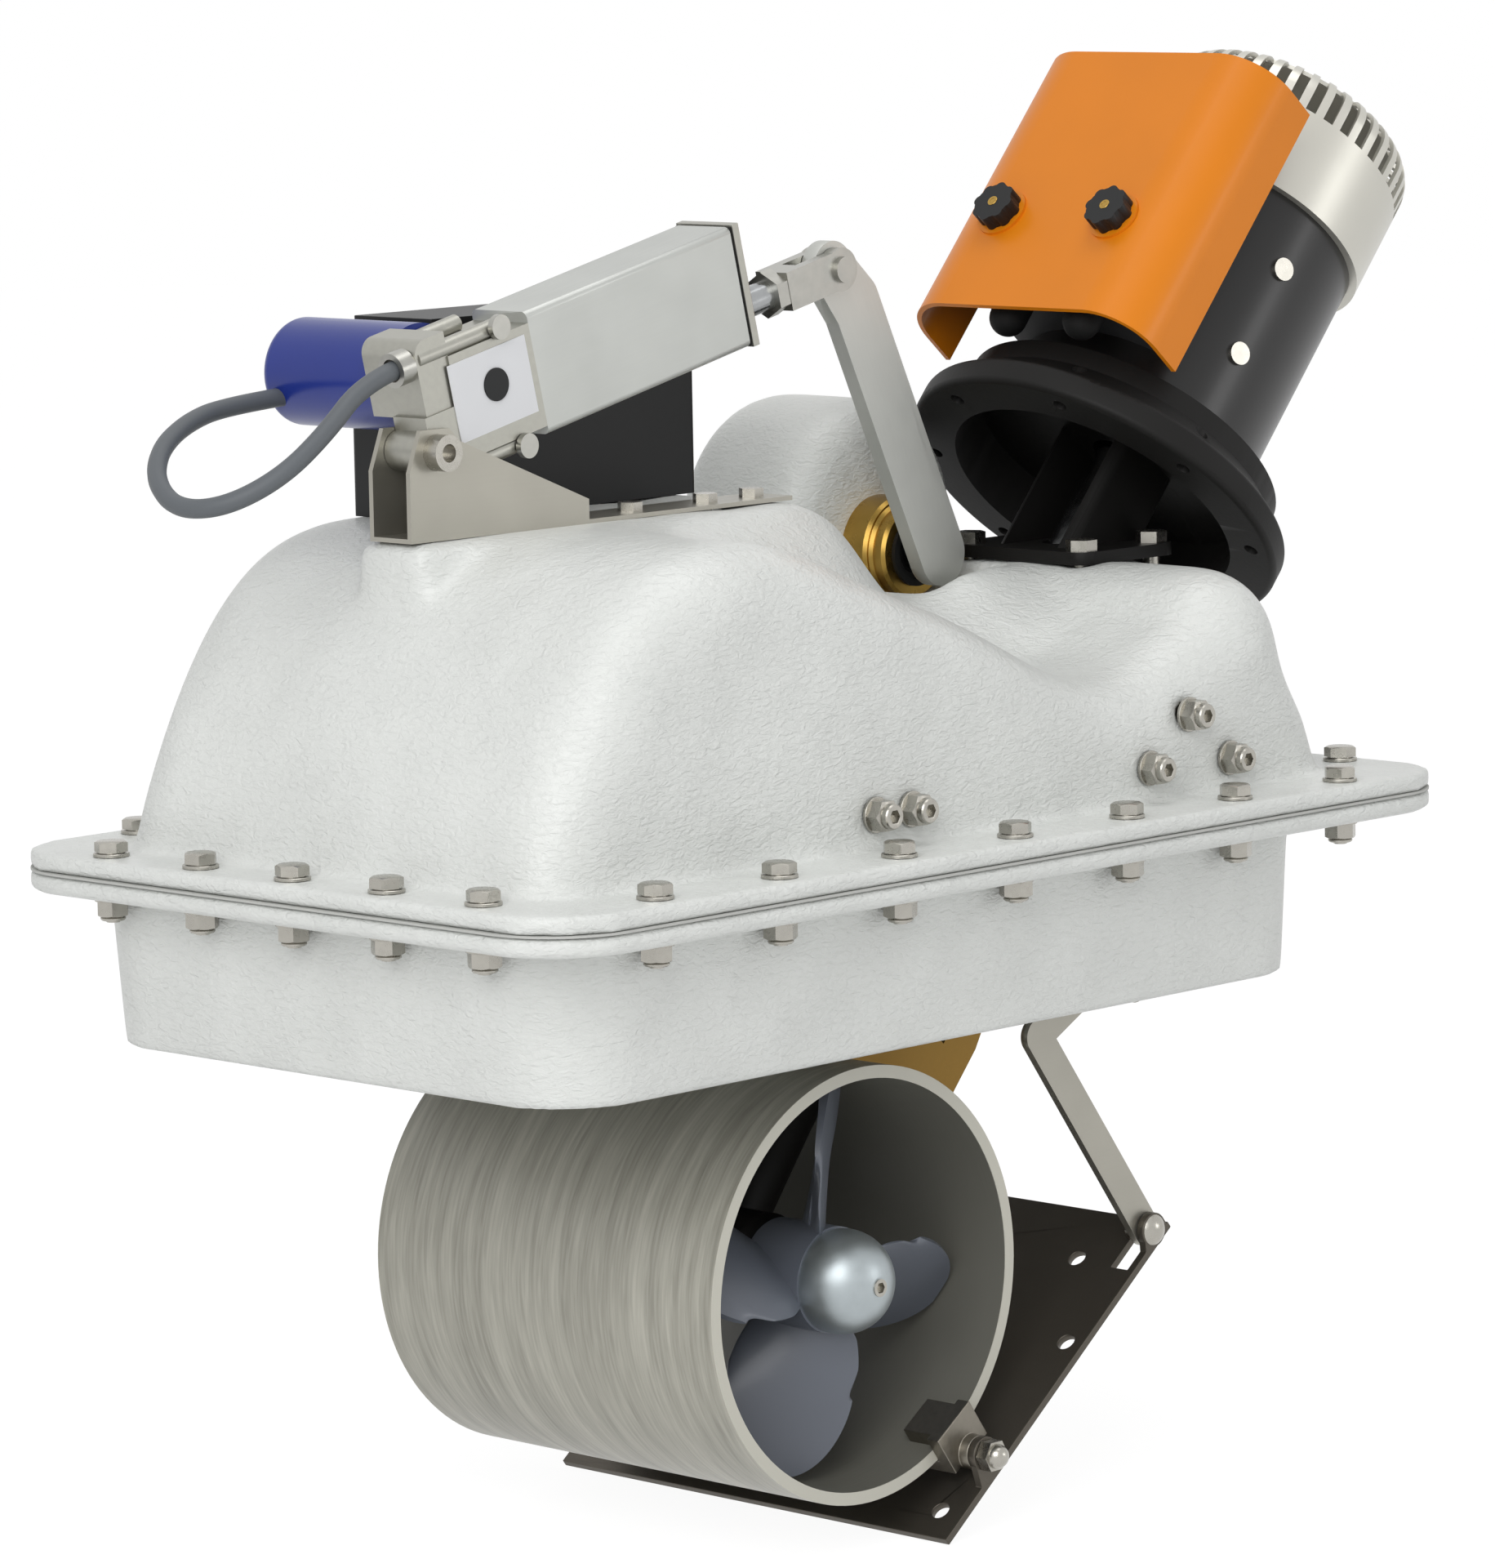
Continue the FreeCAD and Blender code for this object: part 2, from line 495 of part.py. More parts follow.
PROP_SHAFT_R = 9.0
save("swing_arm", swing_arm())
save("gearleg", gearleg())

tunnel = ycyl(TUNNEL_R, *TUNNEL, -TUNNEL_LENGTH / 2, TUNNEL_LENGTH / 2).cut(
    [ycyl(TUNNEL_BORE / 2, *TUNNEL, -TUNNEL_LENGTH, TUNNEL_LENGTH),
     on_drive(Part.makeCylinder(LEG_R + GAP, 200, V(0, 0, 60)))])
save("tunnel", tunnel)

# Lower drive shaft with the inner ball of the constant-velocity joint at the pivot
ball = Part.makeSphere(BALL_R, V(0, 0, SWING_RADIUS))
lower_shaft = on_drive(Part.makeCylinder(LOWER_SHAFT_R, SWING_RADIUS - 41, V(0, 0, 41)).fuse(ball))
save("lower_shaft", lower_shaft)

# ---------------------------------------------------------------- propellers and anodes
PROP_R = TUNNEL_BORE / 2 - 2.5
PROP_HUB_R, PROP_Y0, PROP_Y1 = 24.0, 52.0, 86.0
BLADES = 4
BLADE_PHASE = 13.0
BLADE_STATIONS = ((16, 36, 9.0, 58), (38, 56, 7.0, 46), (62, 66, 5.0, 37), (PROP_R + 4, 60, 3.0, 29))
PADDLE_MID, PADDLE_LONG, PADDLE_WIDE, PADDLE_PITCH = 46.0, 45.0, 29.0, 37.0


def blade(phase):
    """Twisted blade lofted through oval sections at four radii (radius, chord, thickness, pitch),
    trimmed to a rounded paddle."""
    wires = []
    for radius, chord, thick, pitch in BLADE_STATIONS:
        p = math.radians(pitch)
        along = V(math.cos(p), -math.sin(p), 0)
        across = V(math.sin(p), math.cos(p), 0)
        pts = []
        for u, w in ((-0.5, 0), (-0.28, 0.42), (0.1, 0.5), (0.5, 0), (0.1, -0.5), (-0.28, -0.42)):
            q = along * (u * chord) + across * (w * thick)
            pts.append(V(q.x, q.y, radius))
        curve = Part.BSplineCurve()
        curve.interpolate(pts, PeriodicFlag=True)
        wires.append(Part.Wire(curve.toShape()))
    solid = Part.makeLoft(wires, True, False)
    solid.translate(V(0, (PROP_Y0 + PROP_Y1) / 2, 0))
    p = math.radians(PADDLE_PITCH)
    centre, across = V(0, (PROP_Y0 + PROP_Y1) / 2, PADDLE_MID), V(math.sin(p), math.cos(p), 0)
    paddle = Part.Ellipse(centre + V(0, 0, PADDLE_LONG),
                          centre + V(math.cos(p), -math.sin(p), 0) * PADDLE_WIDE, centre)
    paddle = Part.Face(Part.Wire(paddle.toShape()))
    paddle.translate(across * -50)
    solid = solid.common(paddle.extrude(across * 100))
    solid = solid.common(Part.makeCylinder(PROP_R, 100, V(0, PROP_Y0 - 34, 0), V(0, 1, 0)))
    solid.rotate(V(0, 0, 0), V(0, 1, 0), phase)
    return solid


def propeller():
    hub = Part.makeCylinder(PROP_HUB_R, PROP_Y1 - PROP_Y0, V(0, PROP_Y0, 0), V(0, 1, 0))
    step = 360.0 / BLADES
    solid = hub.fuse([blade(BLADE_PHASE + step * k) for k in range(BLADES)])
    solid = solid.cut(Part.makeCylinder(PROP_SHAFT_R, 300, V(0, 0, 0), V(0, 1, 0)))
    solid.translate(V(TUNNEL_X, 0, TUNNEL_Z))
    return solid


ANODE_LEN, ANODE_BASE_R = 28.0, 25.0


def anode():
    """Zinc nose: a near-hemisphere on a short barrel, turned to -Y, with a socket screw recess."""
    y0, y1 = -PROP_Y1, -PROP_Y1 - ANODE_LEN
    profile = [Part.makeLine(V(0, y0, 0), V(ANODE_BASE_R - 2, y0, 0)),
               Part.Arc(V(ANODE_BASE_R - 2, y0, 0), V(19.5, y1 + 9.5, 0), V(5, y1, 0)).toShape(),
               Part.makeLine(V(5, y1, 0), V(0, y1, 0)), Part.makeLine(V(0, y1, 0), V(0, y0, 0))]
    solid = Part.Face(Part.Wire(profile)).revolve(V(0, 0, 0), V(0, 1, 0), 360)
    solid = solid.cut(Part.makeCylinder(4.0, 400, V(0, -200, 0), V(0, 1, 0)))
    solid.translate(V(TUNNEL_X, 0, TUNNEL_Z))
    return solid


def anode_screw():
    y1 = -PROP_Y1 - ANODE_LEN
    screw = ycyl(4.0, *TUNNEL, y1 - 0.5, -PROP_Y1)
    socket = hexagon(4.5, 0, 0, 0, 3)
    socket.rotate(V(0, 0, 0), V(1, 0, 0), 90)
    socket.translate(V(TUNNEL_X, y1 + 2.4, TUNNEL_Z))
    return screw.cut(socket)


far_prop = propeller()
save("propeller_far", far_prop)
save("propeller_near", mirror_y(far_prop))
save("prop_shaft", ycyl(PROP_SHAFT_R, *TUNNEL, -PROP_Y1, PROP_Y1))
save("anodes", *both_sides(anode()))
save("anode_screws", *both_sides(anode_screw()))

# ---------------------------------------------------------------- hatch plate and its linkage
tilt = math.radians(HATCH_TILT)


def on_hatch(along, up):
    """World XZ of a point on the hatch: along its top face from the low edge, and above it."""
    return (HATCH_LOW_X + along * math.cos(tilt) - up * math.sin(tilt),
            HATCH_LOW_Z + along * math.sin(tilt) + up * math.cos(tilt))


HINGE = on_hatch(HINGE_ALONG, HINGE_UP)
LINK = on_hatch(LINK_ALONG, LINK_UP)
EAR_T, EAR_R = 4.0, 8.0
LINK_Y0 = HATCH_HALF_Y - EAR_T - 0.5 - LINK_T
PIN_R = PIN_D / 2
FAIRING_HOLE_R = 4.3
FAIRING_HOLES = [(15.0, 36.0), (15.0, 108.0), (119.0, 112.0), (167.0, 30.0), (167.0, 86.0)]


def hatch_plate():
    plate = prism_xz([on_hatch(*p) for p in ((0, -HATCH_T), (HATCH_LENGTH, -HATCH_T),
                                             (HATCH_LENGTH, 0), (0, 0))],
                     -HATCH_HALF_Y, HATCH_HALF_Y)
    ears = []
    for along, up in ((HINGE_ALONG, HINGE_UP), (LINK_ALONG, LINK_UP)):
        tab = prism_xz([on_hatch(*p) for p in ((along - 1.6 * EAR_R, -HATCH_T), (along + EAR_R, -HATCH_T),
                                               (along + EAR_R, up), (along - EAR_R, up))],
                       HATCH_HALF_Y - EAR_T, HATCH_HALF_Y)
        ears.append(tab.fuse(ycyl(EAR_R, *on_hatch(along, up), HATCH_HALF_Y - EAR_T, HATCH_HALF_Y)))
    solid = plate.fuse([s for ear in ears for s in both_sides(ear)])
    slot = prism_xz([on_hatch(*p) for p in ((LINK_ALONG - 22, -HATCH_T - 1), (HATCH_LENGTH + 2, -HATCH_T - 1),
                                            (HATCH_LENGTH + 2, 30), (LINK_ALONG - 22, 30))],
                    LINK_Y0 - 5.5, HATCH_HALF_Y - EAR_T)
    cuts = both_sides(slot)
    cuts += [ycyl(PIN_R + SHAFT_CLEAR, *HINGE, -200, 200), ycyl(PIN_R, *LINK, -200, 200)]
    for along, y in FAIRING_HOLES:
        x, z = on_hatch(along, 0)
        normal = V(-math.sin(tilt), 0, math.cos(tilt))
        for side in (-1, 1):
            cuts.append(Part.makeCylinder(FAIRING_HOLE_R, 20, V(x, side * y, z) - normal * 10, normal))
    return solid.cut(cuts).removeSplitter()


save("hatch_plate", hatch_plate())

# Link arm: from the hatch up to its elbow and on to its upper pivot, on the bisector of the
# pin's two end positions, so that both ends of the travel keep its length.
link_raised = turn_point(LINK, PIVOT, SWING_ANGLE)
hinge_raised = turn_point(HINGE, PIVOT, SWING_ANGLE)
link_closed = turn_point(link_raised, hinge_raised, HATCH_TILT - SWING_ANGLE)
mid = ((LINK[0] + link_closed[0]) / 2, (LINK[1] + link_closed[1]) / 2)
span = math.hypot(link_closed[0] - LINK[0], link_closed[1] - LINK[1])
LINK_TOP = (mid[0] + LINK_PIVOT_OFF * (link_closed[1] - LINK[1]) / span,
            mid[1] - LINK_PIVOT_OFF * (link_closed[0] - LINK[0]) / span)
ELBOW = (64.0, -94.0)
arm = bar(LINK, ELBOW, LINK_W / 2, LINK_W / 2, LINK_Y0, LINK_Y0 + LINK_T).fuse(
    bar(ELBOW, LINK_TOP, LINK_W / 2, LINK_W / 2, LINK_Y0, LINK_Y0 + LINK_T))
arm = arm.cut([ycyl(PIN_R + SHAFT_CLEAR, *LINK, 0, 200), ycyl(PIN_R, *LINK_TOP, 0, 200)])
save("link_arms", *both_sides(arm.removeSplitter()))


def link_pin():
    """Domed pin of the hatch end of the link arm, near side, with its nut inside."""
    x, z = LINK
    head = Part.makeSphere(9.0, V(x, -HATCH_HALF_Y + 5.5, z)).common(
        box(x - 9, x + 9, -HATCH_HALF_Y - 5, -HATCH_HALF_Y, z - 9, z + 9))
    shank = ycyl(PIN_R, x, z, -HATCH_HALF_Y - 1, -LINK_Y0 + 4.5)
    nut = ycyl(6.0, x, z, -LINK_Y0 + GAP, -LINK_Y0 + 4.5)
    return head.fuse([shank, nut])


JAW_IN = 16.5


def clamp():
    """Cast clamp on the near rim of the tunnel with the boss of the hatch hinge."""
    x, z = HINGE
    reach = math.hypot(x - TUNNEL_X, z - TUNNEL_Z)
    rim = TUNNEL_LENGTH / 2
    inner, outer = TUNNEL_BORE / 2, TUNNEL_R
    jaws = [Part.makeBox(26, 32, 7, V(-13, -rim - 7, -outer - 7)),
            Part.makeBox(20, 7 + JAW_IN, 8, V(-10, -rim - 7, -inner)),
            Part.makeBox(26, 7, outer - inner + 15, V(-13, -rim - 7, -outer - 7))]
    jaws.append(Part.makeCylinder(EAR_R, HATCH_HALF_Y - EAR_T - GAP - rim, V(0, -rim, -reach), V(0, -1, 0)))
    solid = jaws[0].fuse(jaws[1:])
    wall = Part.makeCylinder(outer, 2 * rim, V(0, -rim, 0), V(0, 1, 0)).cut(
        Part.makeCylinder(inner, 2 * rim, V(0, -rim, 0), V(0, 1, 0)))
    solid = solid.cut([wall, Part.makeCylinder(PIN_R, 100, V(0, -rim - 50, -reach), V(0, 1, 0))])
    lean = math.degrees(math.atan2(x - TUNNEL_X, TUNNEL_Z - z))
    solid.rotate(V(0, 0, 0), V(0, 1, 0), -lean)
    solid.translate(V(TUNNEL_X, 0, TUNNEL_Z))
    return solid.removeSplitter()


def hinge_pin():
    """Hinge bolt of the hatch with its acorn nut outside the ear."""
    x, z = HINGE
    y = -HATCH_HALF_Y - GAP
    nut = hexagon(HEX, 0, 0, 0, 6)
    nut.rotate(V(0, 0, 0), V(1, 0, 0), 90)
    nut.translate(V(x, y, z))
    dome = Part.makeSphere(5.6, V(x, y - 6, z))
    shank = ycyl(PIN_R, x, z, y - 2, -TUNNEL_LENGTH / 2 + 5)
    return nut.fuse([dome, shank])


save("link_pins", *both_sides(link_pin()))
save("tunnel_clamps", *both_sides(clamp()))
save("hinge_pins", *both_sides(hinge_pin()))


def link_bracket():
    """Bonded bracket on the lower housing's near wall that carries the link arm's top pivot."""
    x, z = LINK_TOP
    foot = box(x - 26, x + 26, -BOX_HALF_Y - 2, -BOX_HALF_Y + BOX_WALL + 5, z - 2, z + 44).common(CAVITY)
    boss = ycyl(LINK_W / 2, x, z, -BOX_HALF_Y + BOX_WALL + 2, -LINK_Y0 - LINK_T - GAP)
    web = prism_xz([(x - 8, z), (x + 8, z), (x + 8, z + 20), (x - 8, z + 20)],
                   -BOX_HALF_Y + BOX_WALL + 2, -LINK_Y0 - LINK_T - 8)
    return foot.fuse([boss, web])


save("link_brackets", *both_sides(link_bracket()))

# ---------------------------------------------------------------- motor, its bracket and cover
NECK_HALF, NECK_WALL = 22.0, 5.0
RING_T, DOME_OUT, RECESS_R, RECESS_TOP = 14.0, 80.0, 72.0, 452.0
MOTOR_SHAFT_R = 9.0


def motor_bracket():
    """Cast black bracket: seat plate, open channel neck and bell flange."""
    ring = Part.makeCylinder(RING_R, RING_T, V(0, 0, RING_S))
    ring = ring.makeFillet(3.0, [e for e in ring.Edges if e.Curve.TypeId == "Part::GeomCircle"])
    bell = Part.makeCone(RING_R - 3, DOME_OUT, 12, V(0, 0, RING_S + RING_T - 1))
    cap = Part.makeCylinder(DOME_OUT, MOTOR_S0 - RING_S - RING_T - 11, V(0, 0, RING_S + RING_T + 11))
    solid = ring.fuse([bell, cap])
    solid = solid.cut(Part.makeCylinder(RECESS_R, RECESS_TOP - RING_S + 1, V(0, 0, RING_S - 1)))
    neck = Part.makeBox(2 * NECK_HALF, 2 * NECK_HALF, RECESS_TOP - 360, V(-NECK_HALF, -NECK_HALF, 360))
    neck = neck.makeFillet(6.0, [e for e in neck.Edges if e.BoundBox.ZLength > 50])
    hollow = Part.makeBox(2 * NECK_HALF, 2 * (NECK_HALF - NECK_WALL), RECESS_TOP - 360,
                          V(-NECK_HALF - NECK_WALL, -NECK_HALF + NECK_WALL, 360))
    solid = on_drive(solid.fuse(neck.cut(hollow)))
    solid = solid.common(box(-100, 500, -200, 200, HUMP_Z + SEAT_T, 500).fuse(
        box(SEAT_X1 + 6, 500, -200, 200, 0, 500)))
    seat = rounded_plate(SEAT_X0, SEAT_X1, -SEAT_Y, SEAT_Y, 8.0, HUMP_Z, HUMP_Z + SEAT_T)
    solid = solid.fuse(seat)
    cuts = [on_drive(Part.makeCylinder(MOTOR_SHAFT_R + 3, 200, V(0, 0, 340)))]
    for k in range(8):
        a = math.radians(22.5 + 45 * k)
        cuts.append(on_drive(Part.makeCylinder(3.5, 40, V(84 * math.cos(a), 84 * math.sin(a), RING_S - 2))))
    cuts += [zcyl(4.3, x, y, 80, 120) for x, y in MOTOR_BOLTS]
    return solid.cut(cuts)


save("motor_bracket", motor_bracket())
save("motor_bracket_bolts", *[hexagon(HEX, x, y, HUMP_Z + SEAT_T, HUMP_Z + SEAT_T + HEAD_H).fuse(
    zcyl(M8 / 2, x, y, HUMP_Z - 14, HUMP_Z + SEAT_T)) for x, y in MOTOR_BOLTS])
seal = on_drive(Part.makeCylinder(SHAFT_SEAL_R, 24, V(0, 0, 362)).cut(
    Part.makeCylinder(MOTOR_SHAFT_R + 0.1, 60, V(0, 0, 350))))
save("shaft_seal", seal.common(box(-400, 600, -200, 200, -100, HUMP_Z)))

body = Part.makeCylinder(MOTOR_R, MOTOR_S1 - MOTOR_S0, V(0, 0, MOTOR_S0))
body = body.cut(Part.makeCylinder(MOTOR_SHAFT_R + 1, 30, V(0, 0, MOTOR_S0 - 1)))
save("motor_body", on_drive(body))


def fan_cowl():
    """Pressed fan cowl with a ring of vents on its rounded shoulder."""
    shell = Part.makeCylinder(COWL_R, COWL_S1 - MOTOR_S1, V(0, 0, MOTOR_S1))
    top = [e for e in shell.Edges if abs(e.CenterOfMass.z - COWL_S1) < 0.1]
    shell = shell.makeFillet(15.0, top)
    hollow = Part.makeCylinder(COWL_R - 2, COWL_S1 - MOTOR_S1 - 22, V(0, 0, MOTOR_S1 + 20))
    hollow = hollow.makeFillet(13.0, [e for e in hollow.Edges if abs(e.CenterOfMass.z - COWL_S1 + 2) < 0.1])
    shell = shell.cut(hollow)
    vents = []
    for k in range(VENTS):
        slot = Part.makeBox(30, VENT_W, 30, V(COWL_R - 13, -VENT_W / 2, COWL_S1 - 25))
        slot.rotate(V(0, 0, 0), V(0, 0, 1), 360.0 * k / VENTS)
        vents.append(slot)
    return on_drive(shell.cut(vents))


VENTS, VENT_W = 42, 5.4
save("motor_fan_cowl", fan_cowl())
motor_shaft = Part.makeCylinder(MOTOR_SHAFT_R, MOTOR_S0 + 4 - SWING_RADIUS, V(0, 0, SWING_RADIUS + 16))
save("motor_shaft", on_drive(motor_shaft.fuse(
    Part.makeCylinder(BALL_R + 7, 20, V(0, 0, SWING_RADIUS + 3)).cut(
        Part.makeSphere(BALL_R + GAP, V(0, 0, SWING_RADIUS))))))

COVER_FACE, COVER_HALF, COVER_S0, COVER_S1, COVER_BACK, COVER_T = -106.0, 72.0, 460.0, 612.0, -60.0, 2.5
COVER_ROUND = 28.0
KNOB_Y, KNOB_S = 35.0, 514.0


def cover_form(inset):
    half, face = COVER_HALF - inset, COVER_FACE + inset
    solid = Part.makeBox(COVER_BACK - face + 60, 2 * half, COVER_S1 - COVER_S0 + 2 * inset,
                         V(face, -half, COVER_S0 - inset))
    edges = [e for e in solid.Edges if e.BoundBox.ZLength > 100 and e.CenterOfMass.x < face + 1]
    return solid.makeFillet(COVER_ROUND - inset, edges)


def safety_cover():
    """Folded sheet cover: flat face, two rounded corners, cheeks back to the motor's side."""
    outer = cover_form(0)
    top = Part.makeBox(400, 400, 400, V(COVER_FACE - 1, -200, COVER_S1 - COVER_T))
    shell = outer.cut(cover_form(COVER_T).cut(top))
    shell = shell.common(Part.makeBox(COVER_BACK - COVER_FACE, 400, 400, V(COVER_FACE, -200, COVER_S0)))
    shell = shell.cut(Part.makeCylinder(COWL_R + 1, 400, V(0, 0, 400)))
    discs = [Part.makeCylinder(13, 1.5, V(COVER_FACE - 1.5, s * KNOB_Y, KNOB_S), V(1, 0, 0)) for s in (-1, 1)]
    holes = [Part.makeCylinder(3.2, 30, V(COVER_FACE - 10, s * KNOB_Y, KNOB_S), V(1, 0, 0)) for s in (-1, 1)]
    return on_drive(shell.fuse(discs).cut(holes))


def cover_knob(side):
    """Black lobed knob with its stud down to the terminal block."""
    x0 = COVER_FACE - 1.5
    knob = Part.makeCylinder(10.0, 8.0, V(x0 - 8, side * KNOB_Y, KNOB_S), V(1, 0, 0))
    lobes = []
    for k in range(8):
        a = math.radians(45 * k)
        lobes.append(Part.makeCylinder(3.0, 8.0, V(x0 - 8, side * KNOB_Y + 8.2 * math.cos(a),
                                                   KNOB_S + 8.2 * math.sin(a)), V(1, 0, 0)))
    stud = Part.makeCylinder(3.0, BLOCK_X0 - x0 + 6, V(x0, side * KNOB_Y, KNOB_S), V(1, 0, 0))
    return on_drive(knob.fuse(lobes).fuse(stud))


BLOCK_X0, BLOCK_HALF, BLOCK_S0, BLOCK_S1 = -94.0, 44.0, 480.0, 583.0
STUD_S = 470.5


def terminal_block():
    """Relay block on the motor's uphill side."""
    corner = V(BLOCK_X0, -BLOCK_HALF, BLOCK_S0)
    block = Part.makeBox(-BLOCK_X0 - 30, 2 * BLOCK_HALF, BLOCK_S1 - BLOCK_S0, corner)
    block = block.makeFillet(4.0, [e for e in block.Edges if e.CenterOfMass.x < BLOCK_X0 + 1])
    cuts = [Part.makeCylinder(MOTOR_R, 400, V(0, 0, 400))]
    cuts += [Part.makeCylinder(3.0, 6, V(BLOCK_X0, s * KNOB_Y, KNOB_S), V(1, 0, 0)) for s in (-1, 1)]
    return on_drive(block.cut(cuts))


def terminal_stud(side):
    base = Part.makeCylinder(9.0, BLOCK_S0 - STUD_S, V(-82, side * 23.0, STUD_S))
    cap = Part.makeSphere(9.0, V(-82, side * 23.0, STUD_S))
    return on_drive(base.fuse(cap))


save("safety_cover", safety_cover())
save("cover_knobs", cover_knob(-1), cover_knob(1))
save("terminal_block", terminal_block())
save("terminal_studs", terminal_stud(-1), terminal_stud(1))

screw_angle = math.radians(-106.0)
screws = [Part.makeCylinder(5.5, 2.2, V((MOTOR_R - 0.4) * math.cos(a), (MOTOR_R - 0.4) * math.sin(a), s),
                            V(math.cos(a), math.sin(a), 0)).cut(
          Part.makeCylinder(MOTOR_R, 200, V(0, 0, 440)))
          for s in (502.5, 552.5) for a in (screw_angle, math.pi / 2 + 0.28)]
save("motor_screws", *[on_drive(s) for s in screws])

# ---------------------------------------------------------------- actuator
ACT_ANGLE = math.degrees(math.atan2(LEVER_TOP_Z - TAIL_Z, LEVER_TOP_X - TAIL_X))
ACT_LENGTH = math.hypot(LEVER_TOP_Z - TAIL_Z, LEVER_TOP_X - TAIL_X)


def on_actuator(shape):
    """Place a shape made with x along the actuator from its tail pivot and z up from it."""
    other = shape.copy()
    other.rotate(V(0, 0, 0), V(0, 1, 0), -ACT_ANGLE)
    other.translate(V(TAIL_X, 0, TAIL_Z))
    return other


ACT_Y0, ACT_Y1 = 2.5, 37.0
CASE_U0, CASE_U1, CASE_W0, CASE_W1 = 70.0, 202.0, -14.0, 42.0
CHEEK_IN, CHEEK_OUT, CHEEK_T = 2.0, 23.0, 2.5
TAIL_PIN_R = 5.0
BLUE_R, BLUE_U, BLUE_W, BLUE_LEN = 24.0, 33.0, 22.0, 78.0


def actuator_case():
    case = box(CASE_U0, CASE_U1, ACT_Y0, ACT_Y1, CASE_W0, CASE_W1)
    seal = box(CASE_U1, CASE_U1 + 1.5, ACT_Y0 + 0.5, ACT_Y1 - 0.5, CASE_W0 + 0.5, CASE_W1 - 0.5)
    case = case.makeFillet(3.0, [e for e in case.Edges if e.BoundBox.XLength > 100])
    cap = box(CASE_U1 + 1.5, CASE_U1 + 5.5, ACT_Y0 - 0.5, ACT_Y1 + 0.5, CASE_W0 - 0.5, CASE_W1 + 0.5)
    bore = cyl(ROD_D / 2 + SHAFT_CLEAR, (CASE_U1 - ROD_INSIDE - 2, ROD_Y, 0), (CASE_U1 + 20, ROD_Y, 0))
    return case.cut(bore), cap.cut(bore), seal.cut(bore)


ROD_Y, ROD_INSIDE = LEVER_Y + LEVER_T / 2, 112.0


def actuator_tail():
    """Cast tail: gearbox block with label face, end plate and the tail eye between the cheeks."""
    block = box(20, CASE_U0, ACT_Y0, ACT_Y1, -10, 37)
    head = box(HEAD_U0, 21, ACT_Y0 + 1, ACT_Y1, 14, HEAD_W1)
    head = head.makeFillet(7.0, [e for e in head.Edges if e.BoundBox.YLength > 20
                                 and e.CenterOfMass.x < HEAD_U0 + 1 and e.CenterOfMass.z > 30])
    eye = ycyl(9.0, 0, 0, CHEEK_IN + GAP, CHEEK_OUT - GAP)
    neck = box(0, 24, ACT_Y0, CHEEK_OUT - GAP, -9, 15)
    rails = [cyl(4.0, (4, y, w), (56, y, w)) for y, w in ((ACT_Y0 + 4, 40), (ACT_Y0 + 4, -13),
                                                         (ACT_Y1 - 4, 40), (ACT_Y1 - 4, -13))]
    solid = block.fuse([head, eye, neck] + rails)
    return solid.cut([ycyl(TAIL_PIN_R + SHAFT_CLEAR, 0, 0, -20, 60),
                      cyl(CABLE_D / 2 + 2, (HEAD_U0 - 2, GLAND_Y, GLAND_W), (HEAD_U0 + 8, GLAND_Y, GLAND_W))])


CABLE_D = 8.5
HEAD_U0, HEAD_W1 = 2.0, 48.0
GLAND_Y, GLAND_W = 11.0, 38.0
case, cap, seal = actuator_case()
save("actuator_case", on_actuator(case))
save("actuator_end_cap", on_actuator(cap))
save("actuator_gasket", on_actuator(seal))
save("actuator_tail", on_actuator(actuator_tail()))
label = box(18, 66, ACT_Y0 - 0.5, ACT_Y0, -2, 33)
plug = ycyl(7.3, 44, 17, ACT_Y0 - 1.2, ACT_Y0 - 0.5)
save("actuator_label", on_actuator(label))
save("actuator_plug", on_actuator(plug))
screws = [ycyl(5.5, u, w, y0, y0 + 3) for u, w in ((51, 41), (54, -14)) for y0 in (ACT_Y0 - 3.5,)]
save("actuator_screws", *[on_actuator(s.cut(box(0, 80, ACT_Y0, 60, -17, 45))) for s in screws])
blue = ycyl(BLUE_R, BLUE_U, BLUE_W, ACT_Y1, ACT_Y1 + BLUE_LEN)
blue = blue.makeFillet(5.0, [e for e in blue.Edges if abs(e.CenterOfMass.y - ACT_Y1 - BLUE_LEN) < 0.1])
save("actuator_motor", on_actuator(blue))
GLAND_U = HEAD_U0 - 8.0
gland = cyl(CABLE_D / 2 + 2, (GLAND_U + 4, GLAND_Y, GLAND_W), (HEAD_U0 + 8, GLAND_Y, GLAND_W)).fuse(
    cyl(CABLE_D / 2 + 3.5, (GLAND_U, GLAND_Y, GLAND_W), (HEAD_U0, GLAND_Y, GLAND_W)))
gland = gland.cut(cyl(CABLE_D / 2 + 3 * GAP, (GLAND_U - 5, GLAND_Y, GLAND_W),
                      (GLAND_U + 4, GLAND_Y, GLAND_W)))
save("cable_gland", on_actuator(gland))


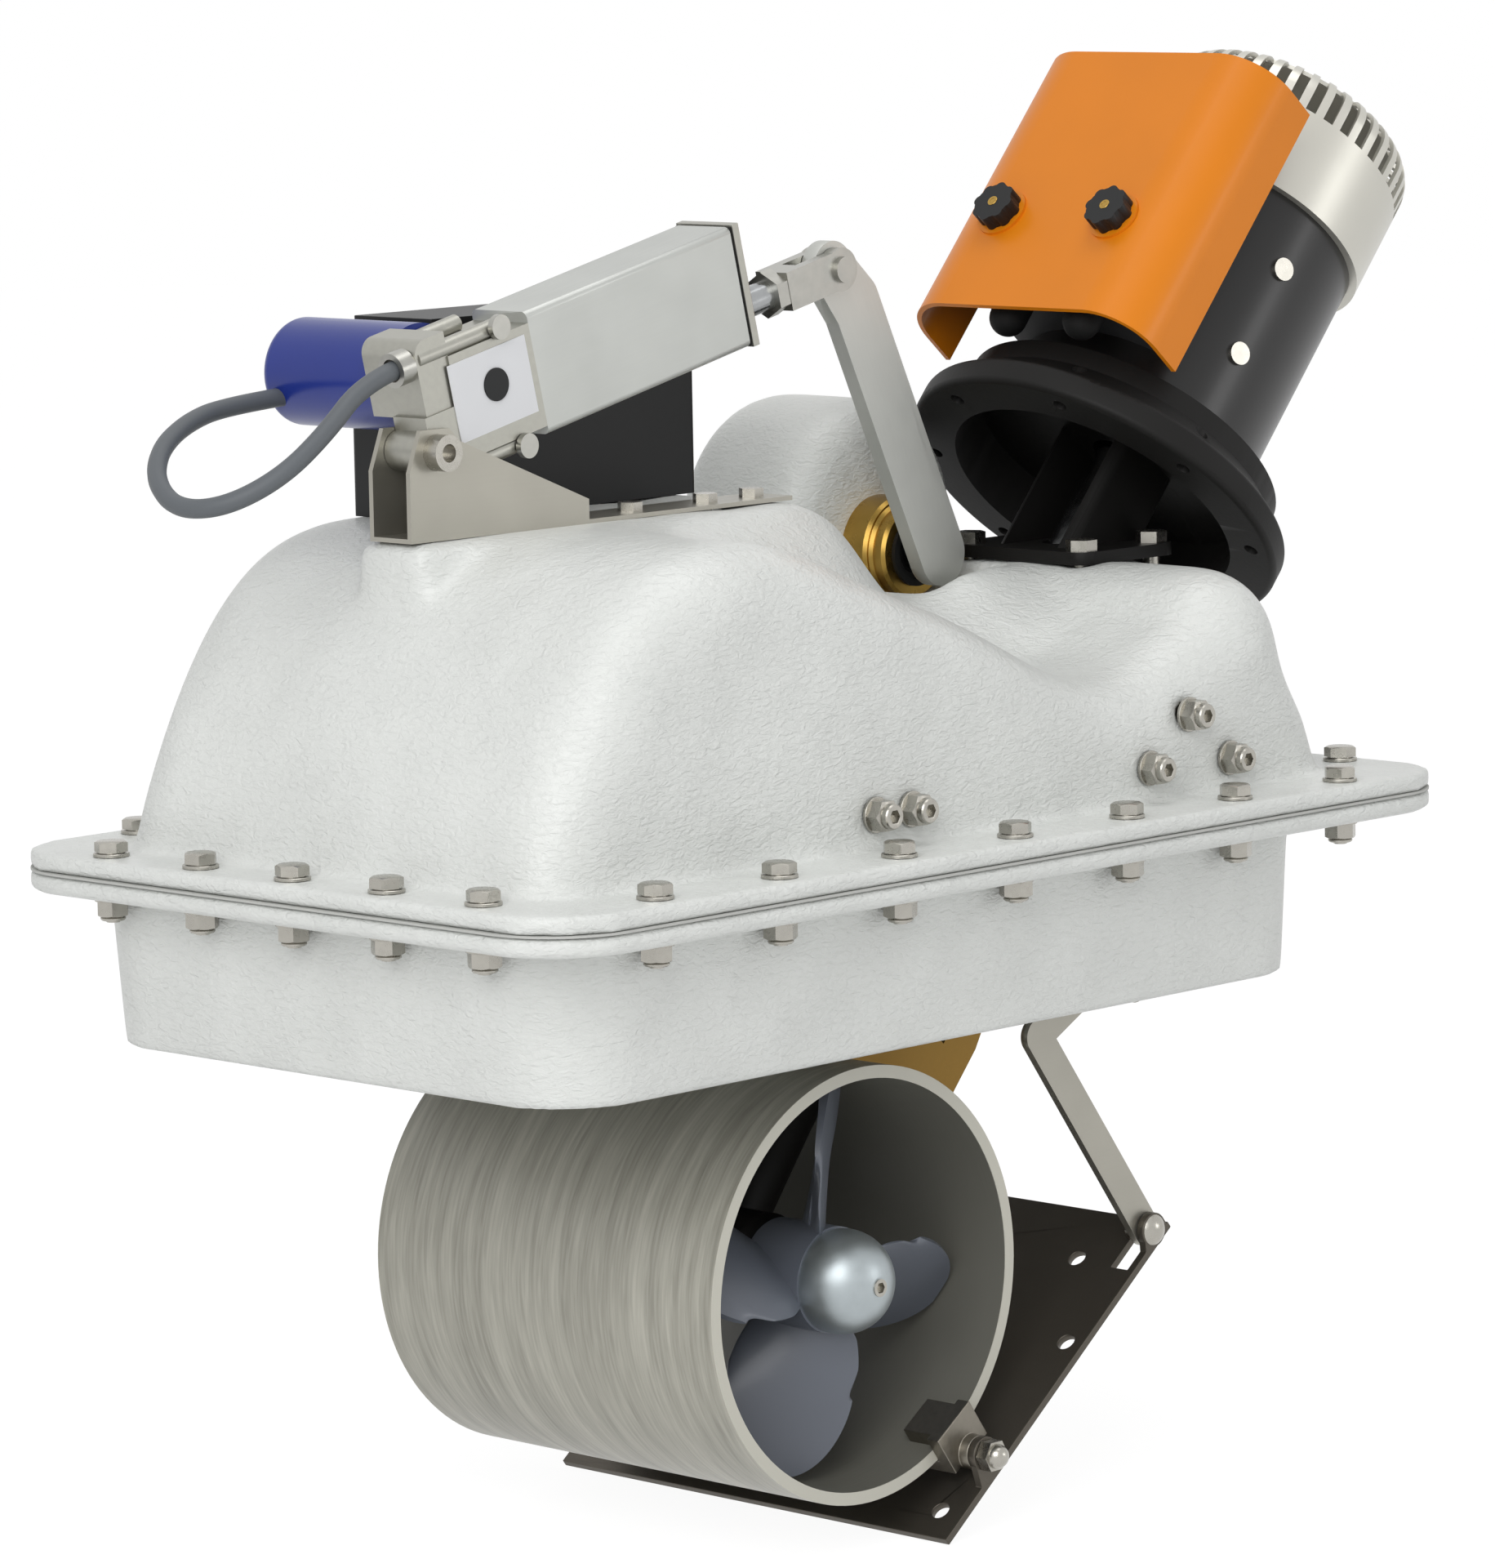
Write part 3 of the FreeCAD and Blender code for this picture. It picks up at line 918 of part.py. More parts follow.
def cord_tube(points, diameter):
    """Round tube along straight runs joined by tangent arcs; prints its radii and its volume."""
    pts = [V(*p) for p in points]
    edges, radii, start = [], [], pts[0]
    for a, b, c in zip(pts, pts[1:], pts[2:]):
        back, ahead = (a - b), (c - b)
        short = min(back.Length, ahead.Length)
        back.normalize()
        ahead.normalize()
        half_turn = (math.pi - back.getAngle(ahead)) / 2
        reach = 0.45 * short
        radius = reach / math.tan(half_turn)
        first, last = b + back * reach, b + ahead * reach
        inward = back + ahead
        inward.normalize()
        middle = b + inward * (radius / math.cos(half_turn) - radius)
        edges += [Part.LineSegment(start, first).toShape(), Part.Arc(first, middle, last).toShape()]
        radii.append(round(radius, 1))
        start = last
    edges.append(Part.LineSegment(start, pts[-1]).toShape())
    path = Part.Wire(edges)
    ring = Part.Wire(Part.makeCircle(diameter / 2, pts[0], pts[1] - pts[0]))
    tube = path.makePipeShell([ring], True, False)
    print("cord radii", radii, "volume ratio",
          round(tube.Volume / (math.pi * diameter ** 2 / 4 * path.Length), 4))
    return tube


mouth = on_actuator(Part.Vertex(GLAND_U + 4, GLAND_Y, GLAND_W)).Point
CABLE_ROUTE = [(mouth.x, mouth.y, mouth.z), (-222, GLAND_Y, 214.5), (-247, 7, 196), (-272, 8, 179),
               (-292, 22, 167), (-299, 45, 165), (-292, 67, 175), (-275, 83, 187), (-249, 95, 196),
               (-218, 104, 201), (-172, 106, 203)]
cable = cord_tube(CABLE_ROUTE, CABLE_D)
cable = cable.cut(on_actuator(ycyl(BLUE_R, BLUE_U, BLUE_W, ACT_Y1, ACT_Y1 + BLUE_LEN)))
save("actuator_cable", cable.Solids[0])

# Rod, lock nut and fork at the lever's end
FORK_IN, FORK_T, FORK_SLOT = GAP, 5.5, 24.0
cheek_in = LEVER_T / 2 + FORK_IN
fork = box(-FORK_SLOT - 12, -FORK_SLOT, -cheek_in - FORK_T, cheek_in + FORK_T, -9, 9)
for s in (-1, 1):
    y0, y1 = sorted((s * cheek_in, s * (cheek_in + FORK_T)))
    fork = fork.fuse([box(-FORK_SLOT, 0, y0, y1, -9, 9), ycyl(10.0, 0, 0, y0, y1)])
fork = fork.cut([ycyl(PIN_R, 0, 0, -50, 50)])
rod_end = -FORK_SLOT - 12
rod = cyl(ROD_D / 2, (-ACT_LENGTH + CASE_U1 - ROD_INSIDE, 0, 0), (rod_end, 0, 0))
nut = hexagon(19.0, 0, 0, 0, 7)
nut.rotate(V(0, 0, 0), V(0, 1, 0), 90)
nut.translate(V(rod_end - 7, 0, 0))
nut = nut.cut(rod)
pins = []
for s in (-1, 1):
    y0, y1 = sorted((s * cheek_in, s * (cheek_in + FORK_T + 1.5)))
    h0, h1 = sorted((s * (cheek_in + FORK_T), s * (cheek_in + FORK_T + 2.5)))
    pins.append(ycyl(PIN_R, 0, 0, y0, y1).fuse(ycyl(6.0, 0, 0, h0, h1)))


def on_rod(shape):
    other = shape.copy()
    other.translate(V(ACT_LENGTH, ROD_Y, 0))
    return on_actuator(other)


save("actuator_rod", on_rod(rod))
save("rod_nut", on_rod(nut))
save("rod_fork", on_rod(fork.removeSplitter()))
save("fork_pins", *[on_rod(p) for p in pins])

# Bracket of the tail pivot and its pin
BRACKET_X0, BRACKET_X1, FOOT_T = -206.0, -98.0, 2.0


def actuator_bracket():
    """Folded stainless channel: two cheeks up from a foot strip on the plateau."""
    z0 = PLATEAU_Z
    foot = box(BRACKET_X0, 32, CHEEK_IN - CHEEK_T, CHEEK_OUT + CHEEK_T, z0, z0 + FOOT_T)
    outline_pts = [(BRACKET_X0, z0), (BRACKET_X1, z0), (BRACKET_X1, z0 + 11),
                   (TAIL_X + 14, TAIL_Z + 4), (TAIL_X + 8, TAIL_Z + 10), (TAIL_X - 9, TAIL_Z + 10),
                   (BRACKET_X0, TAIL_Z - 8)]
    near = prism_xz(outline_pts, CHEEK_IN - CHEEK_T, CHEEK_IN)
    far = prism_xz(outline_pts[:1] + [(TAIL_X + 12, z0), (TAIL_X + 12, TAIL_Z)] + outline_pts[4:],
                   CHEEK_OUT, CHEEK_OUT + CHEEK_T)
    solid = foot.fuse([near, far])
    cuts = [ycyl(TAIL_PIN_R, TAIL_X, TAIL_Z, -50, 60)]
    cuts += [zcyl(3.3, x, y, 120, 160) for x, y in BRACKET_BOLTS]
    return solid.cut(cuts)


save("actuator_bracket", actuator_bracket())
tail_bolt = ycyl(TAIL_PIN_R, TAIL_X, TAIL_Z, CHEEK_IN - CHEEK_T - 1, CHEEK_OUT + CHEEK_T + 7).fuse(
    ycyl(8.0, TAIL_X, TAIL_Z, CHEEK_IN - CHEEK_T - 8, CHEEK_IN - CHEEK_T)).cut(
    ycyl(4.0, TAIL_X, TAIL_Z, CHEEK_IN - CHEEK_T - 9, CHEEK_IN - CHEEK_T - 3))
save("tail_bolt", tail_bolt)
save("bracket_bolts", *[hexagon(10.0, x, y, PLATEAU_Z + FOOT_T, PLATEAU_Z + FOOT_T + 4).fuse(
    zcyl(3.0, x, y, PLATEAU_Z - 9, PLATEAU_Z + FOOT_T)) for x, y in BRACKET_BOLTS])

# ---------------------------------------------------------------- control boxes on the plateau
CTRL_X0, CTRL_X1, CTRL_Y0, CTRL_Y1, CTRL_TOP = -132.0, 34.0, 62.0, 116.0, 232.0
ctrl = box(CTRL_X0, CTRL_X1, CTRL_Y0, CTRL_Y1, PLATEAU_Z, CTRL_TOP)
ctrl = ctrl.makeFillet(3.0, [e for e in ctrl.Edges if e.BoundBox.ZLength > 50])
lid = box(CTRL_X0 + 2, CTRL_X1 - 2, CTRL_Y0 + 2, CTRL_Y1 - 2, CTRL_TOP, CTRL_TOP + 3)
save("control_box", ctrl)
save("control_box_lid", lid)
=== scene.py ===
# %% [markdown]
# # A retractable bow thruster, dressed in Blender
# The engineering model gives every rigid part its size, place and joint. This script loads it as
# a fixed frame, gives each part the surface that the real one has, and adds the small forms that
# engineering solids leave out: soft laminate bends, a curved cable, bolt chamfers and threads.

# %% Load the engineering model
import bpy, bmesh, math
import numpy as np
from mathutils import Matrix, Vector


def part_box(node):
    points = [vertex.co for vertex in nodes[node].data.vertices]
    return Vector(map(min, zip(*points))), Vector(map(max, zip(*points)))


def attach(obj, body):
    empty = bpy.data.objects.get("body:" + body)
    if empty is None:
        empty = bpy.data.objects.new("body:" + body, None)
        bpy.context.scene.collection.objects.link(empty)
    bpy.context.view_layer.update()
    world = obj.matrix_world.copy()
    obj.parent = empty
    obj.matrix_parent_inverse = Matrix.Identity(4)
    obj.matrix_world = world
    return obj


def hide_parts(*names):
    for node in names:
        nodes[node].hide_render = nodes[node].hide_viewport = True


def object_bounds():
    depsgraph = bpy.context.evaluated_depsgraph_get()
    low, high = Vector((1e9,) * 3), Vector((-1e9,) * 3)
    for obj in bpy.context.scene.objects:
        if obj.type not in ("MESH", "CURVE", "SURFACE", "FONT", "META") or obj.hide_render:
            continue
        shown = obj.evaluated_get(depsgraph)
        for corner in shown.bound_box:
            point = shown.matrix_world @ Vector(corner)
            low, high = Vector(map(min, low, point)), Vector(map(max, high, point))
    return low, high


MM = 0.001     # one millimetre in metres, the frame's unit
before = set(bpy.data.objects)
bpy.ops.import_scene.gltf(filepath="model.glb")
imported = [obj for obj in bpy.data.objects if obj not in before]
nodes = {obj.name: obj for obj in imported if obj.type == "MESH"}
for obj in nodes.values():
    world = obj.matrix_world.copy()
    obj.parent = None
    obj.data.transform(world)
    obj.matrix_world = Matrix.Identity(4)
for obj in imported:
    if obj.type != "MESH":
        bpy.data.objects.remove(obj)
cad_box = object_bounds()

# %% [markdown]
# ## The camera
# A product shot is taken from far away with a long lens, so that parallel edges stay nearly
# parallel. The camera is placed by its direction from the object: azimuth, elevation and a small
# roll, then the distance. Building the rotation from three unit vectors keeps every step visible.

# %% Camera
azimuth, elevation, roll = math.radians(-45.995), math.radians(7.709), math.radians(-1.067)
distance, aim_right, aim_up = 3.212261, 0.000579, -0.018107
back = Vector((math.sin(azimuth) * math.cos(elevation), -math.cos(azimuth) * math.cos(elevation),
               math.sin(elevation)))
level = Vector((0, 0, 1)).cross(back).normalized()
upright = back.cross(level)
right = level * math.cos(roll) + upright * math.sin(roll)
up = upright * math.cos(roll) - level * math.sin(roll)
place = back * distance - right * aim_right - up * aim_up
camera = bpy.data.objects.new("camera", bpy.data.cameras.new("camera"))
camera.data.lens, camera.data.sensor_width = 162.588, 36.0
camera.matrix_world = Matrix.Translation(place) @ Matrix((right, up, back)).transposed().to_4x4()
camera.data.clip_end = 50
bpy.context.scene.collection.objects.link(camera)
bpy.context.scene.camera = camera
bpy.context.scene.view_settings.view_transform = "Standard"
print("camera", round(distance, 2), "m away, lens", camera.data.lens, "mm")

# %% [markdown]
# ## Colours and material nodes
# Colours are easiest to read as the hex values of a screen, but a renderer works in linear light,
# so one function converts them. Another adds a node, sets its inputs or properties and links it,
# and small ones build on it for noise, tint, roughness and relief. A material is named for the
# real stuff and starts from that stuff's roughness and colour.

# %% Colour and node helpers
def colour(code):
    """Linear RGBA of an sRGB hex colour."""
    parts = [int(code[k:k + 2], 16) / 255 for k in (1, 3, 5)]
    linear = [c / 12.92 if c <= 0.04045 else ((c + 0.055) / 1.055) ** 2.4 for c in parts]
    return tuple(linear) + (1.0,)


def add_node(tree, kind, settings=None, links=None):
    """A node of one kind; settings go to its inputs or properties, links join its inputs."""
    node = tree.nodes.new("ShaderNode" + kind)
    for name, value in (settings or {}).items():
        if isinstance(name, str) and hasattr(node, name):
            setattr(node, name, value)
        else:
            node.inputs[name].default_value = value
    for name, output in (links or {}).items():
        tree.links.new(output, node.inputs[name])
    return node


def new_material(name, code, roughness, metallic=0.0, settings=None):
    """Material with its main shader set; returns it with its node tree and that shader."""
    material = bpy.data.materials.new(name)
    material.use_nodes = True
    shader = material.node_tree.nodes["Principled BSDF"]
    shader.inputs["Base Color"].default_value = colour(code)
    shader.inputs["Roughness"].default_value = roughness
    shader.inputs["Metallic"].default_value = metallic
    for key, value in (settings or {}).items():
        shader.inputs[key].default_value = value
    return material, material.node_tree, shader


def noise(tree, at, size_mm, detail=2.0, distortion=0.0):
    """Output of a noise whose features are about size_mm wide."""
    settings = {"Scale": 1 / (size_mm * MM), "Detail": detail, "Distortion": distortion}
    return add_node(tree, "TexNoise", settings, {"Vector": at}).outputs[0]


def shaded(code, share):
    """Linear RGBA of a hex colour, darkened to a share of its light."""
    return tuple(c * share for c in colour(code)[:3]) + (1.0,)


def tint(tree, shader, low, high, share):
    """Give the shader a mix of two colours by a share that varies from place to place."""
    mixed = add_node(tree, "Mix", {"data_type": "RGBA", 6: low, 7: high}, {0: share})
    tree.links.new(mixed.outputs[2], shader.inputs["Base Color"])


def vary_roughness(tree, shader, share, low, high):
    """Let the shader's roughness run from low to high with a share."""
    rough = add_node(tree, "MapRange", {"To Min": low, "To Max": high}, {"Value": share})
    tree.links.new(rough.outputs[0], shader.inputs["Roughness"])


def bend_normals(tree, shader, height, strength, depth_mm):
    """Bend the shader's normal by a height, on top of any relief that it already has."""
    normal = shader.inputs["Normal"]
    links = {"Height": height}
    if normal.is_linked:
        links["Normal"] = normal.links[0].from_socket
    relief = add_node(tree, "Bump", {"Strength": strength, "Distance": depth_mm * MM}, links)
    tree.links.new(relief.outputs[0], normal)


def dress(material, *names):
    """Give CAD nodes this material."""
    for name in names:
        for place in nodes[name].material_slots:
            place.material = material


print("white gelcoat in linear light:", [round(c, 2) for c in colour("#d9dbd8")[:3]])

# %% [markdown]
# ## The actuator's cable
# A PVC-sheathed cable leaves the gland, falls, turns back and enters the small motor. A cable is
# stiff for its size, so it runs in wide even curves. A NURBS curve through few, well spread
# control points is as smooth as that, and its bevel gives the round section. The thickness is
# each point's own radius times the bevel, and with a bevel of one metre the curve's box fits it.
# The curve cuts the corners of its control points, so the cable is a little shorter than they are.

# %% Cable
CABLE_RADIUS = 4.25 * MM
cable_route = [(-200.6, 11.0, 220.0), (-222, 11, 214.5), (-247, 7, 196), (-272, 8, 179),
               (-292, 22, 167), (-299, 45, 165), (-292, 67, 175), (-275, 83, 187),
               (-249, 95, 196), (-218, 104, 201), (-172, 106, 203)]
curve = bpy.data.curves.new("cable", "CURVE")
curve.dimensions, curve.bevel_depth, curve.bevel_resolution = "3D", 1.0, 6
spline = curve.splines.new("NURBS")
spline.points.add(len(cable_route) - 1)
for point, (x, y, z) in zip(spline.points, cable_route):
    point.co = (x * MM, y * MM, z * MM, 1)
    point.radius = CABLE_RADIUS
spline.order_u, spline.use_endpoint_u, spline.resolution_u = 3, True, 12
cable = bpy.data.objects.new("cable", curve)
bpy.context.scene.collection.objects.link(cable)
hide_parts("actuator_cable")
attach(cable, "actuator")

# %% [markdown]
# ## Painted and moulded surfaces
# Hand-laid glass fibre under white gelcoat is never flat: the mat prints through as fine ripples.
# Two noises give it, one the size of the mat's bundles and one the size of a roller's strokes.
# Both bend the surface normal and the wide one also shifts the tone a little. Gelcoat is a resin,
# so it has a soft clear sheen.

# %% White gelcoat over glass mat
gelcoat, tree, shader = new_material("white gelcoat over glass mat", "#d3d5d2", 0.42,
                                     settings={"Coat Weight": 0.12, "Coat Roughness": 0.3})
at = add_node(tree, "TexCoord").outputs["Object"]
stretched = add_node(tree, "Mapping", {"Rotation": (0.0, 0.5, 0.3), "Scale": (1.0, 1.0, 2.2)},
                     {"Vector": at}).outputs[0]
mat_print = noise(tree, stretched, 5, detail=3.0, distortion=1.0)
rollers = noise(tree, at, 40, detail=1.0)
bend_normals(tree, shader, mat_print, 0.65, 1.6)
bend_normals(tree, shader, rollers, 0.6, 3.5)
tint(tree, shader, colour("#cdcfcc"), colour("#dcdedb"), rollers)
print("gelcoat: ripples 5 mm and 40 mm")

# %% [markdown]
# The tunnel is wound: wet glass rovings go round and round a mandrel, and the winding stays
# visible outside as fine bands. Noises squeezed along the tunnel's axis give them. The bore gets
# a darker colour, painted shade for the inside of the tunnel, and the sawn rim shows the pale
# raw glass. Distance from the axis and from the middle tells these apart.

# %% Filament-wound tunnel
INSIDE_RADIUS = 93.2        # mm from the axis: what is nearer is the wall of the bore
RIM_FROM_MIDDLE = 105.2     # mm along the axis: what is further out is a sawn rim
tunnel_low, tunnel_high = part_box("tunnel")
tunnel_axis = [(a + b) / 2 for a, b in zip(tunnel_low, tunnel_high)]
wound, tree, shader = new_material("filament-wound glass laminate", "#8f8c80", 0.42,
                                   settings={"Coat Weight": 0.15, "Coat Roughness": 0.3})
at = add_node(tree, "TexCoord").outputs["Object"]
tow_at = add_node(tree, "Mapping", {"Scale": (0.06, 1.0, 0.06)}, {"Vector": at}).outputs[0]
tows = noise(tree, tow_at, 1.6, distortion=0.3)
bands = noise(tree, tow_at, 9)
winding = add_node(tree, "Mix", {"data_type": "FLOAT", 0: 0.45}, {2: bands, 3: tows}).outputs[0]
sharper = add_node(tree, "MapRange", {"From Min": 0.3, "From Max": 0.7}, {"Value": winding})
outside = add_node(tree, "Mix", {"data_type": "RGBA", 6: colour("#87857a"), 7: colour("#bab8ac")},
                   {0: sharper.outputs[0]})
middle = add_node(tree, "VectorMath", {"operation": "SUBTRACT", 1: tuple(tunnel_axis)}, {0: at})
flat = add_node(tree, "VectorMath", {"operation": "MULTIPLY", 1: (1, 0, 1)},
                {0: middle.outputs[0]})
radius = add_node(tree, "VectorMath", {"operation": "LENGTH"}, {0: flat.outputs[0]})
# Painted shade: inside INSIDE_RADIUS the bore's wall gets a darker colour for the shade inside the
# tunnel.
in_bore_shade = add_node(tree, "Math", {"operation": "LESS_THAN", 1: INSIDE_RADIUS * MM},
                     {0: radius.outputs["Value"]})
walls = add_node(tree, "Mix", {"data_type": "RGBA", 7: colour("#6d6c64")},
                 {0: in_bore_shade.outputs[0], 6: outside.outputs[2]})
from_middle = add_node(tree, "SeparateXYZ", links={0: middle.outputs[0]})
along = add_node(tree, "Math", {"operation": "ABSOLUTE"}, {0: from_middle.outputs[1]})
is_rim = add_node(tree, "Math", {"operation": "GREATER_THAN", 1: RIM_FROM_MIDDLE * MM},
                  {0: along.outputs[0]})
rimmed = add_node(tree, "Mix", {"data_type": "RGBA", 7: colour("#c3c1b5")},
                  {0: is_rim.outputs[0], 6: walls.outputs[2]})
tree.links.new(rimmed.outputs[2], shader.inputs["Base Color"])
bend_normals(tree, shader, winding, 0.5, 0.35)
dress(wound, "tunnel")
print("tunnel axis through", [round(v, 3) for v in tunnel_axis])

# %% [markdown]
# ## Metals
# Sheet stainless comes brushed: long scratches in one direction that smear the highlight across
# them. A noise stretched along the grain gives the scratches, in roughness and in relief.

# %% Brushed stainless
def brushed_metal(name, code, roughness, grain_axis, turn=(0.0, 0.0, 0.0), metallic=0.8):
    """Metal with scratches 0.9 mm apart that run along one axis (0, 1 or 2) of a turned frame."""
    material, tree, shader = new_material(name, code, roughness, metallic)
    at = add_node(tree, "TexCoord").outputs["Object"]
    scale = [1.0, 1.0, 1.0]
    scale[grain_axis] = 0.03
    turned = add_node(tree, "Mapping", {"Rotation": turn}, {"Vector": at}).outputs[0]
    laid = add_node(tree, "Mapping", {"Scale": scale}, {"Vector": turned}).outputs[0]
    scratches = noise(tree, laid, 0.9, detail=3.0)
    vary_roughness(tree, shader, scratches, roughness - 0.08, roughness + 0.12)
    tint(tree, shader, shaded(code, 0.82), colour(code), noise(tree, at, 35))
    bend_normals(tree, shader, scratches, 0.35, 0.02)
    return material


lever_steel = brushed_metal("brushed stainless, lever", "#c3c4bf", 0.42, 2, (0.0, 0.4, 0.0))
# Painted shade: the hatch is the same brushed stainless, darkened to a deep grey for the shade low
# under the unit.
hatch_steel_in_painted_shade = brushed_metal("brushed stainless, hatch, in painted shade", "#5d5850", 0.42, 0, (0.0, -0.66, 0.0))
sheet_steel = brushed_metal("brushed stainless, sheet", "#a9a69c", 0.32, 0)
dress(lever_steel, "lever")
dress(hatch_steel_in_painted_shade, "hatch_plate")
dress(sheet_steel, "actuator_bracket", "link_arms", "drive_link", "inner_crank", "pivot_plates",
      "link_brackets")
print("three brushed stainless finishes")

# %% [markdown]
# Castings are duller and pitted, turned and plated parts are smooth and cloudy. One noise gives
# all of them their grain: its size and its depth tell a casting from a turned face.

# %% Turned, cast and plated metals
def plain_metal(name, code, roughness, grain_mm, relief_mm, metallic=1.0):
    """Metal with an even cloudy grain of one size."""
    material, tree, shader = new_material(name, code, roughness, metallic)
    at = add_node(tree, "TexCoord").outputs["Object"]
    grain = noise(tree, at, grain_mm, detail=3.0)
    vary_roughness(tree, shader, grain, roughness - 0.06, roughness + 0.10)
    tint(tree, shader, shaded(code, 0.8), colour(code), grain)
    bend_normals(tree, shader, grain, 0.4, relief_mm)
    return material


fastener_steel = plain_metal("stainless fastener", "#b3b0a8", 0.26, 4.0, 0.02)
plated_steel = plain_metal("bright zinc plate", "#b2b1ab", 0.3, 5.0, 0.01)
ground_steel = plain_metal("ground steel", "#a9abac", 0.18, 6.0, 0.01)
turned_brass = plain_metal("turned brass", "#b8954c", 0.27, 6.0, 0.03)
cast_bronze = plain_metal("cast bronze", "#8d6f38", 0.45, 2.5, 0.15)
cast_zinc = plain_metal("cast zinc", "#b3bbbe", 0.40, 7.0, 0.12, 0.85)
cast_steel = plain_metal("cast stainless", "#8a857b", 0.38, 2.5, 0.12)
cast_alloy = plain_metal("cast aluminium", "#adaca4", 0.40, 3.0, 0.08)
dress(fastener_steel, "motor_screws", "flange_bolts", "flange_nuts", "wall_bolts",
      "motor_bracket_bolts", "link_pins", "hinge_pins", "tail_bolt", "bracket_bolts",
      "anode_screws")
dress(plated_steel, "actuator_screws", "cable_gland", "rod_nut", "rod_fork", "fork_pins")
dress(ground_steel, "crank_shaft", "crank_pin", "actuator_rod", "motor_shaft", "lower_shaft",
      "prop_shaft")
dress(turned_brass, "crank_bush")
dress(cast_bronze, "swing_arm")
dress(cast_zinc, "anodes")
dress(cast_steel, "tunnel_clamps")
dress(cast_alloy, "actuator_tail", "actuator_end_cap")
print("eight metals")

# %% [markdown]
# ## Anodised extrusion and coats
# The actuator's case is an aluminium extrusion: die lines run along it and anodising makes them
# silky. The motor parts are coated: a powder coat flows into a fine orange peel, and a black
# enamel on a machined can shows broad soft highlights.

# %% Anodised case and the coats
case_lean = math.radians(13.18)     # of the actuator at rest, so that the lines run along it
anodised = brushed_metal("anodised aluminium extrusion", "#bfc1bd", 0.40, 0,
                         (0.0, case_lean, 0.0), metallic=0.55)
dress(anodised, "actuator_case")


def coated(name, code, roughness, peel_mm, relief_mm, coat=0.0, metallic=0.0, shine=0.5):
    """Paint, powder coat or moulded skin with a peel of one size, a little uneven in tone."""
    material, tree, shader = new_material(
        name, code, roughness, metallic,
        {"Coat Weight": coat, "Coat Roughness": 0.15, "Specular IOR Level": shine})
    at = add_node(tree, "TexCoord").outputs["Object"]
    tint(tree, shader, shaded(code, 0.88), colour(code), noise(tree, at, 45))
    bend_normals(tree, shader, noise(tree, at, peel_mm), 0.35, relief_mm)
    return material


orange_coat = coated("orange powder coat", "#dd7f06", 0.42, 1.6, 0.06, 0.08, shine=0.35)
black_enamel = coated("black enamel", "#161515", 0.34, 2.5, 0.03, 0.1, shine=0.4)
black_cast = coated("black coated casting", "#131211", 0.55, 2.0, 0.15, shine=0.2)
silver_coat = coated("silver lacquer", "#cbc9c0", 0.36, 1.5, 0.03, 0.1, 0.7)
blue_coat = coated("blue enamel", "#162b80", 0.3, 3.0, 0.03, 0.1, shine=0.4)
dress(orange_coat, "safety_cover")
dress(black_enamel, "motor_body")
dress(black_cast, "motor_bracket", "gearleg")
dress(silver_coat, "motor_fan_cowl")
dress(blue_coat, "actuator_motor")
print("five coats and the anodised case")

# %% [markdown]
# ## Plastics and rubber
# Moulded plastics take the tool's texture: a spark-eroded matt grain on the boxes and knobs, and
# a wider ripple under a thin sheen on the glass-filled propeller blades. The joint's sealant and
# the rubber parts are matt.

# %% Plastics and rubber
black_plastic = coated("black moulded ABS", "#141516", 0.46, 0.8, 0.05, shine=0.3)
grey_plastic = coated("dark grey moulded nylon", "#3a3b3d", 0.5, 0.9, 0.05)
blade_plastic = coated("glass-filled composite", "#656a74", 0.38, 3.0, 0.08, 0.1)
label_film = coated("plain label film", "#dcdde0", 0.28, 12.0, 0.02, 0.3)
sheath = coated("grey PVC sheath", "#606468", 0.5, 2.0, 0.04, shine=0.3)
soft_rubber = coated("black rubber", "#121212", 0.7, 1.2, 0.08, shine=0.3)
dress(black_plastic, "control_box", "control_box_lid", "cover_knobs", "stop_brackets",
      "actuator_plug")
dress(grey_plastic, "terminal_block")
dress(blade_plastic, "propeller_near", "propeller_far")
dress(label_film, "actuator_label")
dress(sheath, "actuator_cable")
sealant = coated("pale grey joint sealant", "#b9bab6", 0.6, 2.0, 0.15)
dress(sealant, "flange_gasket")
dress(soft_rubber, "terminal_studs", "crank_seal", "shaft_seal", "actuator_gasket")
curve.materials.append(sheath)
print("materials:", len(bpy.data.materials))

# %% [markdown]
# ## Soft laminate shells
# The housing is laid up by hand over a mould, so no edge on it is crisp: resin and mat bridge
# every inner corner and thin out over every outer one. A voxel remesh gives an even skin of small
# faces, and averaging each point with its neighbours rounds the bends by one to three millimetres
# and the nose, which is smoothed longer, by up to nine. The flanges are sawn, so the points near
# them move much less.

